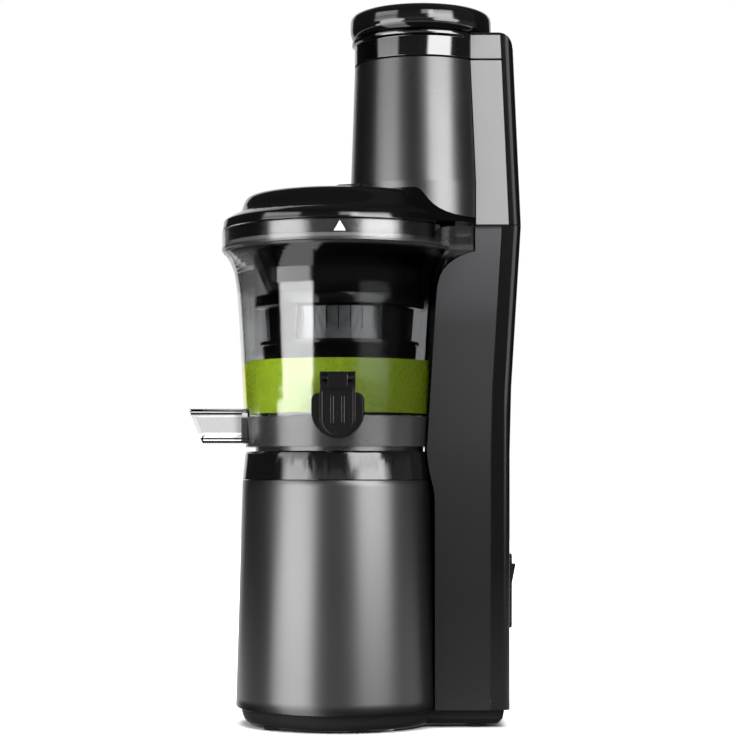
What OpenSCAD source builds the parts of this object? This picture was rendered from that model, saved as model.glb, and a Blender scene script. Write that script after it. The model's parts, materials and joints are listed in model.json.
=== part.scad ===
// Cold press juicer, in millimetres. The Z axis is the drive axis and z = 0 is the worktop.
// The column stands at +X, the pulp spout points to -X and the juice nozzle to -Y.

/* [Base] */
// Radius of the base shell at its top edge
base_r = 60.2; // [58:0.1:76]
// How much wider the base shell is at its foot
base_flare = 4.2; // [1:0.1:8]
// Height of the metallic shell's top edge above the worktop
base_h = 151.6; // [148:0.1:190]
// Height of the shell's lower edge above the worktop
skirt_h = 11; // [9:0.5:16]
// Height of the black ring on top of the shell
ring_h = 17.4; // [15:0.1:26]
// How far the rubber feet stand out of the base plate
foot_h = 1; // [0.8:0.1:4]
// Wall of the moulded covers
wall = 2.6; // [2:0.1:3.4]

/* [Column] */
// Half of the column's width
column_half_w = 29; // [26:0.5:33]
// Distance of the column's rear face from the drive axis
column_rear_x = 104.6; // [100:0.1:118]
// Radius of the column's rear corners
column_corner_r = 5; // [4:0.5:11]
// Depth of the black rear cover
spine_depth = 12; // [11.5:0.5:18]
// Gap between the bowl and the column's cradle
cradle_gap = 2.9; // [1:0.1:6]
// Lean of the rear face below its widest point, in degrees
lean_out = 3.6; // [0.5:0.1:6]
// Lean of the rear face above its widest point, in degrees
lean_in = 2.6; // [0.5:0.1:5]

/* [Bowl] */
// Height of the bowl from its underside to the top of its rim band
bowl_h = 134.6; // [126:0.1:160]
// Wall of the clear bowl
bowl_wall = 2.6; // [2:0.1:3.4]
// How far the rim band stands out past the bowl's foot
rim_out = 14.8; // [12:0.1:20]
// Height of the pulp channel under the juice floor
channel_h = 11; // [9:0.5:14]
// Width of the pulp spout
spout_w = 32; // [24:1:40]
// How far the pulp spout's tip is from the drive axis
spout_reach = 92.6; // [80:0.1:120]
// Height of the pulp spout outside the bowl
spout_h = 21.2; // [18:0.1:24]
// Bore radius of the juice nozzle
nozzle_bore_r = 7.5; // [5:0.1:9]
// Outer radius of the nozzle's round body
nozzle_r = 15.6; // [14:0.1:18]
// How far the nozzle's face is from the drive axis
nozzle_reach = 80; // [74:0.5:90]

/* [Strainer] */
// Inner radius of the steel mesh at its top
mesh_r_top = 46.2; // [42:0.1:47]
// Inner radius of the steel mesh at its foot
mesh_r_foot = 40.4; // [38:0.1:44]
// Number of windows in the strainer's frame
window_count = 8; // [6:1:12]
// Height of the windows
window_h = 18; // [10:0.5:22]
// Height of the lime base ring
green_h = 32.5; // [26:0.5:36]

/* [Auger] */
// Height of one turn of the auger's flight
flight_pitch = 52; // [40:1:70]
// Number of flights
flight_count = 2; // [1:1:3]
// Thickness of a flight
flight_t = 5; // [3:0.5:7]
// Width across the flats of the hex drive
hex_af = 12; // [10:0.5:16]

/* [Chute] */
// Inner radius of the feed tube
chute_bore_r = 38; // [30:0.5:38.5]
// Distance of the feed tube's axis from the drive axis
chute_x = 50.7; // [46:0.1:52]
// Height from the rim band to the top of the tube's collar
chute_h = 117.6; // [90:0.1:150]
// Wall of the feed tube at its top
chute_wall = 3; // [2:0.1:3.5]
// Height of the glossy collar on the tube
collar_h = 15.6; // [10:0.1:24]
// Height of the tamper's cap
cap_h = 15.6; // [10:0.1:24]
// How far the tamper reaches down into the tube
tamper_reach = 82; // [50:1:88]

/* [Gears] */
// Teeth of every pinion
pinion_teeth = 12; // [12:1:14]
// Teeth of the first stage's wheel
wheel_1_teeth = 48; // [40:1:50]
// Teeth of the second stage's wheel
wheel_2_teeth = 40; // [36:1:42]
// Teeth of the output wheel
wheel_3_teeth = 32; // [30:1:36]
// Module of the first stage
module_1 = 0.8; // [0.7:0.05:0.85]
// Module of the second stage
module_2 = 1; // [0.9:0.05:1.05]
// Module of the output stage
module_3 = 1.25; // [1.1:0.05:1.3]

/* [Hidden] */
$fn = 96;

eps = 0.01;          // overlap that lets a cut run past a face
big = 600;           // larger than the whole machine
fit = 0.3;           // clearance between parts that sit in each other
run = 0.05;          // radial clearance of a running fit

// levels, from the worktop up
plate_z = foot_h;                          // underside of the base plate
ring_z = base_h + ring_h;                  // top of the black ring
bowl_z = ring_z + 3;                       // underside of the bowl
rim_z = bowl_z + bowl_h;                   // top of the bowl's rim band
band_h = 13.2;                             // height of the rim band
floor_t = 2.6;                             // thickness of the bowl's two floors
channel_z = bowl_z + floor_t + 2;          // bottom of the pulp channel
juice_z = channel_z + channel_h + floor_t; // surface of the juice floor
collar_top_z = rim_z + chute_h;            // top of the feed tube's collar
seam_z = rim_z + 0.4;                      // seam between the column and the upper spine

// ---------------------------------------------------------------- shared helpers

// points of a cubic Bezier curve between p0 and p3
function bezier(p0, p1, p2, p3, n = 8) = [
    for (i = [0:n])
        let (t = i / n, u = 1 - t)
        u * u * u * p0 + 3 * u * u * t * p1 + 3 * u * t * t * p2 + t * t * t * p3
];

// points of a circular arc
function arc(centre, r, from, to, n = 8) = [
    for (i = [0:n])
        let (a = from + (to - from) * i / n)
        centre + r * [cos(a), sin(a)]
];

// straight interpolation
function mix(a, b, t) = a + (b - a) * t;

module revolve(points) {
    rotate_extrude($fn = 128) polygon(points);
}

module ring(r_out, r_in, h) {
    difference() {
        cylinder(r = r_out, h = h);
        translate([0, 0, -eps]) cylinder(r = r_in, h = h + 2 * eps);
    }
}

// a bar with round ends along X, its ends' centres half_l from the middle
module slot(half_l, r, h) {
    translate([-half_l, -r, 0]) cube([2 * half_l, 2 * r, h]);
    for (side = [-1, 1]) translate([side * half_l, 0, 0]) cylinder(r = r, h = h);
}

// repeats its children round the Z axis
module around(count, from = 0) {
    for (i = [0:count - 1]) rotate([0, 0, from + i * 360 / count]) children();
}

// ---------------------------------------------------------------- base and column outline

function shell_r(z) = base_r + base_flare * (base_h - z) / (base_h - skirt_h);
bowl_foot_r = base_r - 1.9;               // radius of the bowl's foot and the ring's top
rim_r = bowl_foot_r + rim_out;            // radius of the rim band
tab_r = rim_r + 14.5;                     // reach of the rim's tab toward the column
tab_half_w = column_half_w - 0.8;

// the base's outer surface, grown by g
function base_outline(g) = [
    [shell_r(skirt_h) + g, -big],
    [shell_r(skirt_h) + g, skirt_h],
    [base_r + g, base_h],
    [bowl_foot_r + g, ring_z]
];

// outer surface of the bowl, from its foot up to the flare under the rim band
function bowl_outline(g) = concat(
    [[bowl_foot_r + g, bowl_z]],
    bezier([bowl_foot_r + 0.6 + g, bowl_z + 12], [bowl_foot_r + 2.6 + g, bowl_z + 44],
        [bowl_foot_r + 3.6 + g, bowl_z + 76], [bowl_foot_r + 5.6 + g, bowl_z + 98], 7),
    bezier([bowl_foot_r + 6.9 + g, bowl_z + 107], [bowl_foot_r + 8.2 + g, bowl_z + 112],
        [rim_r - 4 + g, bowl_z + 117], [rim_r - 1.6 + g, rim_z - band_h - 1.2], 6)
);

// what the column keeps clear of: base, ring, bowl and the rim band's tab
module cradle_cut(g) {
    clear = cradle_gap + g;
    notch_z = rim_z - band_h - 2.2;
    waist = [for (p = bowl_outline(clear)) if (p[1] < bowl_z + 99) p];
    last = waist[len(waist) - 1];
    revolve(concat(
        [[0, skirt_h - 30]],
        [for (p = base_outline(0.2 + g)) [p[0], max(p[1], skirt_h - 30)]],
        [[bowl_foot_r + clear, ring_z + eps - g]],
        waist,
        bezier(last + [1.4, 6], last + [4, 14], [tab_r - 8 + g, notch_z - 2],
            [tab_r + 0.6 + g, notch_z], 6),
        [[tab_r + 0.6 + g, big], [0, big]]
    ));
}

// The column's cross-section: its rear face lies on x = 0 and it reaches depth forward
function column_points(half_w, corner_r, depth) =
    let (core_w = half_w - corner_r)          // half the width between the corners' centres
    concat(
        [[-depth, -half_w]],
        arc([-corner_r, -core_w], corner_r, -90, 0, 10),
        arc([-corner_r, core_w], corner_r, 0, 90, 10),
        [[-depth, half_w]]
    );

// The rear line: upright, then leaning out a little more at every bend up to the seam
bend_z = [for (i = [0:3]) ring_z - 1 + 20 * i];
function rear_x(z) = column_rear_x + tan(lean_out) / len(bend_z) * sum([for (b = bend_z) max(0, z - b)]);
function sum(v, i = 0) = i < len(v) ? v[i] + sum(v, i + 1) : 0;
function levels(z0, z1) = concat([z0], [for (b = bend_z) if (b > z0 && b < z1) b], [z1]);

// a bar along the rear line, inset from it, flat in front at front_x
module column_bar(front_x, inset, half_w, z0, z1) {
    zs = levels(z0, z1);
    rotate([90, 0, 0]) linear_extrude(height = 2 * half_w, center = true) polygon(concat(
        [[front_x, z0]],
        [for (z = zs) [rear_x(z) - inset, z]],
        [[front_x, z1]]
    ));
}

// the section of points lifted along the rear line, inset from it
module column_loft(points, inset, z0, z1) {
    zs = levels(z0, z1);
    n = len(points);
    top = (len(zs) - 1) * n;
    polyhedron(
        points = [for (z = zs) for (p = points) [p[0] + rear_x(z) - inset, p[1], z]],
        faces = concat(
            [[for (k = [0:n - 1]) k]],
            [[for (k = [n - 1:-1:0]) top + k]],
            [for (i = [0:len(zs) - 2], k = [0:n - 1]) let (b = (k + 1) % n)
                [i * n + k, i * n + k + n, i * n + b + n, i * n + b]]
        )
    );
}

// Sweeps the section in its children up the spine above the seam
module spine_sweep(z0, z1) {
    intersection() {
        translate([rear_x(seam_z), 0, seam_z]) rotate([0, -lean_in, 0]) translate([0, 0, -20])
            linear_extrude(height = collar_top_z - seam_z + 60) children();
        slab(z0, z1);
    }
}

module slab(z0, z1) {
    translate([-big / 2, -big / 2, z0]) cube([big, big, z1 - z0]);
}

// ---------------------------------------------------------------- base

shell_port_w = 34;                        // width of the shell's wiring port
shell_port_h = 90;                        // height of the shell's wiring port

module base_shell() {
    inner_r = shell_r(skirt_h) - wall;
    boss_z = skirt_top_z + fit;           // underside of the bosses for the base plate's screws
    boss_h = 16;
    color([0.27, 0.27, 0.28]) difference() {
        union() {
            revolve([
                [inner_r, skirt_h], [shell_r(skirt_h) - 0.8, skirt_h],
                [shell_r(skirt_h), skirt_h + 0.8], [base_r, base_h], [base_r - wall, base_h]
            ]);
            for (a = base_screw_angles) rotate([0, 0, a]) {
                translate([base_screw_r, 0, boss_z]) cylinder(r = 4, h = boss_h);
                translate([base_screw_r, -1.2, boss_z]) cube([inner_r - base_screw_r + 0.6, 2.4, boss_h]);
            }
        }
        for (a = base_screw_angles) rotate([0, 0, a]) translate([base_screw_r, 0, boss_z - 1])
            cylinder(r = base_screw_bore, h = boss_h - 2);
        translate([base_r - 12, -shell_port_w / 2, skirt_h + 14]) cube([30, shell_port_w, shell_port_h]);
    }
}

deck_t = 3.4;                             // thickness of the base's top deck
deck_z = ring_z - 4;                      // surface of the deck the bowl stands in
hub_r = 15;                               // radius of the shaft's hub on the deck
shaft_r = 6.9;                            // radius of the drive shaft's round part
spigot_r = bowl_foot_r - 6;               // radius of the bowl's spigot
post_r = 36;                              // pitch radius of the gearbox's four posts
post_count = 4;

module base_top_ring() {
    lap_h = 6;                            // how far the ring reaches down into the shell
    color([0.07, 0.07, 0.07]) difference() {
        union() {
            revolve([
                [base_r - wall - fit - 2, base_h - lap_h], [base_r - wall - fit, base_h - lap_h],
                [base_r - wall - fit, base_h + 0.2], [base_r, base_h + 0.2],
                [bowl_foot_r + 0.3, ring_z - 1.6], [bowl_foot_r - 0.5, ring_z],
                [spigot_r + fit, ring_z], [spigot_r + fit, deck_z], [hub_r, deck_z],
                [hub_r, ring_z - 1], [hub_r - 1, ring_z], [shaft_r + 5, ring_z],
                [shaft_r + 5, deck_z - deck_t], [base_r - wall - fit - 2, deck_z - deck_t]
            ]);
            around(post_count, 45) translate([post_r, 0, cover_z + cover_t + mount_t])
                cylinder(r = 6, h = deck_z - deck_t - cover_z - cover_t - mount_t + eps);
            for (a = [0:60:300]) rotate([0, 0, a + 15])
                translate([hub_r + 4, -0.8, deck_z - deck_t - 5]) cube([post_r - hub_r + 8, 1.6, 5 + eps]);
        }
        around(post_count, 45) translate([post_r, 0, cover_z + cover_t])
            cylinder(r = 1.6, h = 14);
    }
}

skirt_inset = 3.2;                        // how far the skirt stands in from the shell
skirt_r = shell_r(skirt_h) - skirt_inset; // radius of the base plate under the shell
skirt_top_z = skirt_h - 0.2;
vent_count = 18;

// one level of the skirt under the column, inset from the column's own outline
module skirt_level(z, inset, h = 0.1) {
    translate([column_rear_x - inset, 0, z]) linear_extrude(height = h)
        polygon(column_points(column_half_w - inset, column_corner_r - 2, 60 - inset));
}

module base_plate() {
    z1 = plate_z + 1.4;
    z2 = plate_z + 4.4;
    color([0.06, 0.06, 0.06]) difference() {
        union() {
            revolve(concat(
                [[0, plate_z]],
                bezier([skirt_r - 8, plate_z], [skirt_r - 3, plate_z],
                    [skirt_r - 1.2, plate_z + 2], [skirt_r, skirt_top_z], 7),
                [[0, skirt_top_z]]
            ));
            hull() {
                skirt_level(plate_z, skirt_inset + 7);
                skirt_level(z1, skirt_inset + 3.4);
            }
            hull() {
                skirt_level(z1, skirt_inset + 3.4);
                skirt_level(z2, skirt_inset + 1);
            }
            hull() {
                skirt_level(z2, skirt_inset + 1);
                skirt_level(skirt_top_z - 0.1, skirt_inset);
            }
        }
        // open tray inside
        translate([0, 0, plate_z + wall]) cylinder(r = skirt_r - wall - 1.4, h = 40);
        translate([column_rear_x - 60, -column_half_w + skirt_inset + wall + 3, plate_z + wall])
            cube([60 - skirt_inset - wall - 4, 2 * (column_half_w - skirt_inset - wall - 3), 40]);
        around(vent_count) translate([34, 0, plate_z - eps]) slot(6, 1.4, wall + 2 * eps);
        for (p = foot_places) translate([p[0], p[1], plate_z - eps]) cylinder(r = foot_r + fit, h = 1.2);
        for (a = base_screw_angles) rotate([0, 0, a]) translate([base_screw_r, 0, plate_z - eps])
            union() {
                cylinder(r = 1.7, h = wall + 2 * eps);
                cylinder(r = screw_head_r + 0.3, h = 0.2 + screw_head_t + eps);
            }
    }
}

foot_r = 7.5;
foot_places = [[-38, -34], [-38, 34], [84, -14], [84, 14], [12, -46], [12, 46]];
base_screw_r = 53;                        // pitch radius of the base plate's screws
base_screw_angles = [180, -55, 55];
base_screw_bore = 1.55;

module feet() {
    color([0.05, 0.05, 0.05])
        for (p = foot_places) translate([p[0], p[1], 0]) {
            cylinder(r = foot_r - 0.8, h = foot_h);
            translate([0, 0, foot_h / 2]) cylinder(r = foot_r, h = foot_h / 2 + 1.1);
        }
}

screw_head_r = 3;
screw_head_t = 1;

// screws that hold the base plate, each in a boss of the shell, their heads sunk in the plate
module base_screws() {
    color([0.5, 0.5, 0.52])
        for (a = base_screw_angles) rotate([0, 0, a]) translate([base_screw_r, 0, plate_z + 0.1]) {
            cylinder(r = screw_head_r, h = screw_head_t);
            cylinder(r = 1.5, h = 18);
        }
}

// side of the column below the seam: its front edge, seen from the side
function column_front() = concat(
    [[base_r - 1.5, skirt_h], [base_r - 1.5, base_h - 14]],
    bezier([base_r - 1.8, base_h - 8], [base_r - 4.5, base_h + 4],
        [base_r - 6.4, base_h + 10], [base_r - 6.4, ring_z + 2], 6),
    [[base_r - 12, ring_z + 3], [base_r - 12, seam_z], [column_rear_x + 30, seam_z],
     [column_rear_x + 30, skirt_h]]
);

module column_side_profile() {
    rotate([90, 0, 0]) linear_extrude(height = 4 * column_half_w, center = true)
        polygon(column_front());
}

column_depth = 62;                        // how far the column's section reaches forward
top_wall = 3;                             // wall across the column's top

module column_housing() {
    cavity_half = column_half_w - wall;
    color([0.29, 0.29, 0.30]) difference() {
        intersection() {
            difference() {
                column_bar(base_r - 20, spine_depth, column_half_w, skirt_h, seam_z);
                cradle_cut(0);
            }
            column_side_profile();
        }
        difference() {
            column_bar(base_r - 20, spine_depth - 1, cavity_half, skirt_h - 1, seam_z - top_wall);
            cradle_cut(wall);
        }
        translate([base_r - 12, -shell_port_w / 2, skirt_h + 14]) cube([30, shell_port_w, shell_port_h]);
    }
}

module column_spine() {
    color([0.06, 0.06, 0.06]) difference() {
        column_loft(column_points(column_half_w, column_corner_r, spine_depth - 0.2), 0, skirt_h, seam_z);
        column_loft(column_points(column_half_w - wall, column_corner_r - wall, spine_depth), wall,
            skirt_h - 1, seam_z - top_wall);
        translate([column_rear_x - spine_depth - 1, -switch_w / 2, switch_z - switch_h / 2])
            cube([30, switch_w, switch_h]);
        translate([column_rear_x - spine_depth - 1, 0, gland_z])
            rotate([0, 90, 0]) cylinder(r = gland_r, h = 30);
    }
}

switch_z = 83;                            // height of the rocker's pivot
switch_h = 40;                            // height of the switch's opening
switch_w = 20;                            // width of the switch's opening
bezel_lip = 3;                            // how far the bezel's flange covers the spine
rocker_tilt = 6;                          // angle the rocker rests at
pivot_x = column_rear_x - 1.5;            // distance of the rocker's pivot from the drive axis

module switch_bezel() {
    box_d = 24;
    color([0.04, 0.04, 0.04]) difference() {
        union() {
            translate([column_rear_x, 0, switch_z]) rotate([0, 90, 0]) linear_extrude(height = 2.2)
                rounded_rect(switch_h / 2 + bezel_lip, switch_w / 2 + bezel_lip, 4);
            translate([column_rear_x - box_d, -switch_w / 2 + fit, switch_z - switch_h / 2 + fit])
                cube([box_d + eps, switch_w - 2 * fit, switch_h - 2 * fit]);
        }
        translate([column_rear_x - box_d + 2, -switch_w / 2 + 2, switch_z - switch_h / 2 + 2])
            cube([box_d + 4, switch_w - 4, switch_h - 4]);
        translate([pivot_x, 0, switch_z]) rotate([90, 0, 0])
            cylinder(r = rocker_pin_r + run, h = switch_w - 1.2, center = true);
    }
}

module rounded_rect(half_x, half_y, r) {
    square([2 * half_x, 2 * (half_y - r)], center = true);
    square([2 * (half_x - r), 2 * half_y], center = true);
    for (sx = [-1, 1], sy = [-1, 1]) translate([sx * (half_x - r), sy * (half_y - r)]) circle(r = r);
}

rocker_pin_r = 1.6;

// a two-faced rocker: each face leans back 10 degrees from the middle ridge
module rocker() {
    half_h = switch_h / 2 - 2.8;
    width = switch_w - 4.8;
    color([0.05, 0.05, 0.05]) translate([pivot_x, 0, switch_z]) rotate([0, rocker_tilt, 0]) {
        rotate([90, 0, 0]) linear_extrude(height = width, center = true) polygon([
            [-6, -6], [-2, -half_h + 0.6], [4.6, -half_h], [3.2, 0], [4.6, half_h],
            [-2, half_h - 0.6], [-6, 6]
        ]);
        rotate([90, 0, 0]) cylinder(r = rocker_pin_r, h = switch_w - 1.6, center = true);
    }
}

gland_z = 27;                             // height of the cord gland
gland_r = 7;                              // radius of the gland's hole in the spine
cord_r = 3.6;                             // radius of the gland's own bore

gland_l = 12.2;                           // how far the gland reaches in from the rear face

module cord_gland() {
    color([0.04, 0.04, 0.04]) translate([column_rear_x, 0, gland_z]) rotate([0, 90, 0]) difference() {
        union() {
            translate([0, 0, -gland_l]) cylinder(r = cord_r + 2.2, h = gland_l);
            translate([0, 0, -wall - 2]) cylinder(r = gland_r + 2, h = 1.9);
            translate([0, 0, -wall - 1]) cylinder(r = gland_r - 0.1, h = wall + 1.4);
        }
        translate([0, 0, -gland_l - 1]) cylinder(r = cord_r, h = 2 * gland_l);
    }
}

// ---------------------------------------------------------------- motor

can_r = 35;
can_z = 28;                               // bottom of the motor's can
case_z = 86;                              // bottom of the gearbox
can_wall = 1.6;
rotor_r = 21;
rotor_shaft_r = 4;

module motor_can() {
    color([0.55, 0.56, 0.58]) difference() {
        translate([0, 0, can_z]) cylinder(r = can_r, h = case_z - can_z);
        translate([0, 0, can_z - eps]) cylinder(r = can_r - can_wall, h = case_z - can_z - 3);
        translate([0, 0, can_z]) cylinder(r = bearing_r, h = 100);
        around(8) translate([22, 0, case_z - 4]) slot(4, 1.5, 5);
    }
}

bearing_r = 9;

module motor_stator() {
    slots = 12;
    color([0.62, 0.40, 0.24]) translate([0, 0, can_z + 12]) difference() {
        cylinder(r = can_r - can_wall - 0.1, h = 34);
        translate([0, 0, -eps]) cylinder(r = rotor_r + 0.8, h = 40);
        around(slots) translate([rotor_r + 5, 0, -eps]) cylinder(r = 2.6, h = 40);
        around(slots) translate([rotor_r, -0.8, -eps]) cube([5, 1.6, 40]);
    }
}

module motor_end_bell() {
    color([0.55, 0.56, 0.58]) translate([0, 0, can_z - 4]) difference() {
        union() {
            cylinder(r = can_r, h = 4 - fit / 3);
            cylinder(r = bearing_r + 2, h = 9);
        }
        translate([0, 0, -eps]) cylinder(r = bearing_r, h = 12);
        around(8) translate([22, 0, -eps]) slot(5, 2.2, 6);
    }
}

module motor_bearings() {
    color([0.75, 0.75, 0.78])
        for (z = [can_z - 4, case_z - 6]) translate([0, 0, z])
            ring(bearing_r - 0.05, rotor_shaft_r + run, 6);
}

module rotor_core() {
    slots = 16;
    color([0.5, 0.5, 0.52]) translate([0, 0, can_z + 12]) difference() {
        cylinder(r = rotor_r, h = 34);
        translate([0, 0, -eps]) cylinder(r = rotor_shaft_r, h = 40);
        around(slots) translate([rotor_r - 2.2, 0, -eps]) cylinder(r = 1.3, h = 40);
    }
}

module cooling_fan() {
    blades = 9;
    fan_z = can_z - 14;
    color([0.15, 0.15, 0.16]) translate([0, 0, fan_z]) difference() {
        union() {
            cylinder(r = 8, h = 9);
            cylinder(r = 30, h = 1.2);
            around(blades) rotate([0, 0, 20]) translate([6, -0.7, 0]) cube([23, 1.4, 8]);
        }
        translate([0, 0, -eps]) cylinder(r = rotor_shaft_r, h = 20);
    }
}

module rotor_shaft() {
    color([0.8, 0.8, 0.82]) union() {
        translate([0, 0, can_z - 14]) cylinder(r = rotor_shaft_r, h = layer_1_z - can_z + 14.5);
        translate([0, 0, layer_1_z]) rotate([0, 0, toward_1])
            gear(pinion_teeth, module_1, shift, wheel_w_1 + 0.6);
    }
}

// ---------------------------------------------------------------- gear train

shift = 0.3;                              // profile shift: plus on the pinions, minus on the wheels
backlash = 0.12;                          // play at the pitch circle
pressure = 20;
wheel_w_1 = 7;
wheel_w_2 = 8;
wheel_w_3 = 11;
layer_1_z = case_z + 5.4;
mid_z = layer_1_z + wheel_w_1 + 1.4;      // underside of the mid plate
mid_t = 3;
layer_2_z = mid_z + mid_t + 1.2;
layer_3_z = layer_2_z + wheel_w_2 + 1.4;
cover_z = layer_3_z + wheel_w_3 + 1.6;    // underside of the gearbox cover
cover_t = 4;
mount_t = 4;                              // thickness of the rubber mounts
pin_r = 3;                                // radius of the idlers' pins

dist_1 = module_1 * (pinion_teeth + wheel_1_teeth) / 2;
dist_2 = module_2 * (pinion_teeth + wheel_2_teeth) / 2;
dist_3 = module_3 * (pinion_teeth + wheel_3_teeth) / 2;
idler_2 = [-dist_3, 0];
idler_1_x = (dist_2 * dist_2 - dist_1 * dist_1 - dist_3 * dist_3) / (2 * dist_3);
idler_1 = [idler_1_x, sqrt(dist_1 * dist_1 - idler_1_x * idler_1_x)];
toward_1 = atan2(idler_1[1], idler_1[0]);
toward_2 = atan2(idler_2[1] - idler_1[1], idler_2[0] - idler_1[0]);
toward_3 = 0;                             // from the second idler to the drive axis

function deg(x) = x * 180 / PI;
// involute function of an angle, in degrees
function inv(a) = deg(tan(a)) - a;
// half the angle a tooth spans at its base circle
function half_base(teeth, mod, x) =
    90 / teeth + deg(2 * x * tan(pressure)) / teeth + inv(pressure) - deg(backlash / 2 / (teeth * mod));
// a point on the flank at radius r, on side s of the tooth at angle mid
function flank(mid, s, r, base, half) =
    let (a = acos(min(1, base / max(r, base))), at = mid + s * (half - inv(a)))
    r * [cos(at), sin(at)];

function tooth(mid, teeth, mod, x) =
    let (
        base = teeth * mod / 2 * cos(pressure), root = mod * (teeth / 2 - 1.25 + x),
        tip = mod * (teeth / 2 + 1 + x), half = half_base(teeth, mod, x),
        start = max(base, root), steps = 4
    )
    concat(
        root < base ? [flank(mid, -1, root, base, half)] : [],
        [for (i = [0:steps]) flank(mid, -1, mix(start, tip, i / steps), base, half)],
        [for (i = [steps:-1:0]) flank(mid, 1, mix(start, tip, i / steps), base, half)],
        root < base ? [flank(mid, 1, root, base, half)] : []
    );

// an involute spur gear with a tooth centred on +X
module gear(teeth, mod, x, h) {
    linear_extrude(height = h)
        polygon([for (i = [0:teeth - 1]) each tooth(i * 360 / teeth, teeth, mod, x)]);
}

module idler_gear_1() {
    color([0.90, 0.88, 0.80]) translate([idler_1[0], idler_1[1], 0]) difference() {
        union() {
            translate([0, 0, layer_1_z]) rotate([0, 0, toward_1 + 180 + 180 / wheel_1_teeth])
                gear(wheel_1_teeth, module_1, -shift, wheel_w_1);
            translate([0, 0, layer_1_z]) cylinder(r = 4.9, h = layer_2_z - layer_1_z);
            translate([0, 0, layer_2_z]) rotate([0, 0, toward_2])
                gear(pinion_teeth, module_2, shift, wheel_w_2 + 0.6);
        }
        translate([0, 0, layer_1_z - eps]) cylinder(r = pin_r - 0.8 + run, h = 60);
        around(6) translate([12.5, 0, layer_1_z - eps]) cylinder(r = 3, h = wheel_w_1 + 2 * eps);
    }
}

module idler_gear_2() {
    color([0.90, 0.88, 0.80]) translate([idler_2[0], idler_2[1], 0]) difference() {
        union() {
            translate([0, 0, layer_2_z]) rotate([0, 0, toward_2 + 180 + 180 / wheel_2_teeth])
                gear(wheel_2_teeth, module_2, -shift, wheel_w_2);
            translate([0, 0, layer_2_z + wheel_w_2 - eps]) cylinder(r = 6, h = 1.4 + 2 * eps);
            translate([0, 0, layer_3_z]) rotate([0, 0, toward_3])
                gear(pinion_teeth, module_3, shift, wheel_w_3 + 0.6);
        }
        translate([0, 0, layer_2_z - eps]) cylinder(r = pin_r + run, h = 60);
        around(6) translate([13, 0, layer_2_z - eps]) cylinder(r = 3.2, h = wheel_w_2 + 2 * eps);
    }
}

lower_shaft_r = 5;                        // radius of the drive shaft inside the gearbox
key_af = 11;                              // flats that carry the output wheel

module drive_gear() {
    color([0.62, 0.63, 0.65]) difference() {
        union() {
            translate([0, 0, layer_3_z]) rotate([0, 0, toward_3 + 180 + 180 / wheel_3_teeth])
                gear(wheel_3_teeth, module_3, -shift, wheel_w_3);
            translate([0, 0, layer_3_z]) cylinder(r = 10, h = wheel_w_3 + 1);
        }
        translate([0, 0, layer_3_z - eps]) cylinder(r = key_af / sqrt(3), h = 20, $fn = 6);
    }
}

hex_r = hex_af / sqrt(3);                 // corner radius of the hex drive
shaft_top_z = juice_z + 26;

module drive_shaft() {
    color([0.80, 0.80, 0.82]) union() {
        translate([0, 0, mid_z + 0.3]) cylinder(r = lower_shaft_r, h = layer_3_z - mid_z);
        translate([0, 0, layer_3_z]) cylinder(r = (key_af - 0.1) / sqrt(3), h = wheel_w_3 + 1, $fn = 6);
        translate([0, 0, layer_3_z + wheel_w_3 + 1]) cylinder(r = shaft_r, h = ring_z + 1 - layer_3_z - wheel_w_3 - 1);
        translate([0, 0, ring_z + 1 - eps]) cylinder(r = hex_r, h = shaft_top_z - ring_z - 3, $fn = 6);
        translate([0, 0, shaft_top_z - 2 - eps]) intersection() {
            cylinder(r = hex_r, h = 2, $fn = 6);
            cylinder(r1 = hex_r, r2 = hex_r - 2, h = 2, $fn = 48);
        }
    }
}

module gearbox_case() {
    case_r = 54;
    floor_h = 4;
    color([0.45, 0.46, 0.48]) difference() {
        union() {
            translate([0, 0, case_z]) cylinder(r = case_r, h = cover_z - case_z);
            for (a = [0:60:300]) rotate([0, 0, a]) translate([case_r - 1, -1, case_z])
                cube([2.4, 2, cover_z - case_z]);
        }
        translate([0, 0, case_z + floor_h]) cylinder(r = case_r - 2.4, h = 80);
        translate([0, 0, case_z - eps]) cylinder(r = bearing_r - 3, h = 10);
        for (p = [idler_1, idler_2]) translate([p[0], p[1], case_z + 1]) cylinder(r = pin_r, h = 10);
    }
}

module gearbox_mid_plate() {
    leg_r = 47;                           // pitch radius of the plate's legs
    color([0.50, 0.51, 0.53]) difference() {
        union() {
            translate([0, 0, mid_z]) cylinder(r = 51.3, h = mid_t);
            around(4, 45) translate([leg_r, 0, case_z + 4]) cylinder(r = 4, h = mid_z - case_z - 4 + eps);
        }
        translate([idler_1[0], idler_1[1], mid_z - eps]) cylinder(r = 5.8, h = mid_t + 2 * eps);
        translate([idler_2[0], idler_2[1], mid_z - eps]) cylinder(r = pin_r, h = mid_t + 2 * eps);
        translate([0, 0, mid_z - eps]) cylinder(r = lower_shaft_r + 2, h = mid_t + 2 * eps);
        around(4, 45) translate([leg_r, 0, case_z + 4 - eps]) cylinder(r = 1.7, h = 30);
        translate([0, 0, case_z]) cylinder(r = 22, h = mid_z - case_z - eps);
    }
}

module gearbox_cover() {
    color([0.45, 0.46, 0.48]) difference() {
        union() {
            translate([0, 0, cover_z]) cylinder(r = 54, h = cover_t);
            translate([0, 0, cover_z]) cylinder(r = shaft_r + 5.5, h = cover_t + 5);
            around(6, 30) translate([shaft_r + 4, -1, cover_z + cover_t - eps]) cube([30, 2, 2.4]);
        }
        translate([0, 0, cover_z - eps]) cylinder(r = shaft_r + 3, h = 20);
        for (p = [idler_1, idler_2]) translate([p[0], p[1], cover_z - eps]) cylinder(r = pin_r, h = 2.5);
        around(4, 45) translate([post_r, 0, cover_z - eps]) cylinder(r = 1.7, h = 20);
        around(6, 15) translate([49, 0, cover_z - eps]) cylinder(r = 1.6, h = 20);
    }
}

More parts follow.
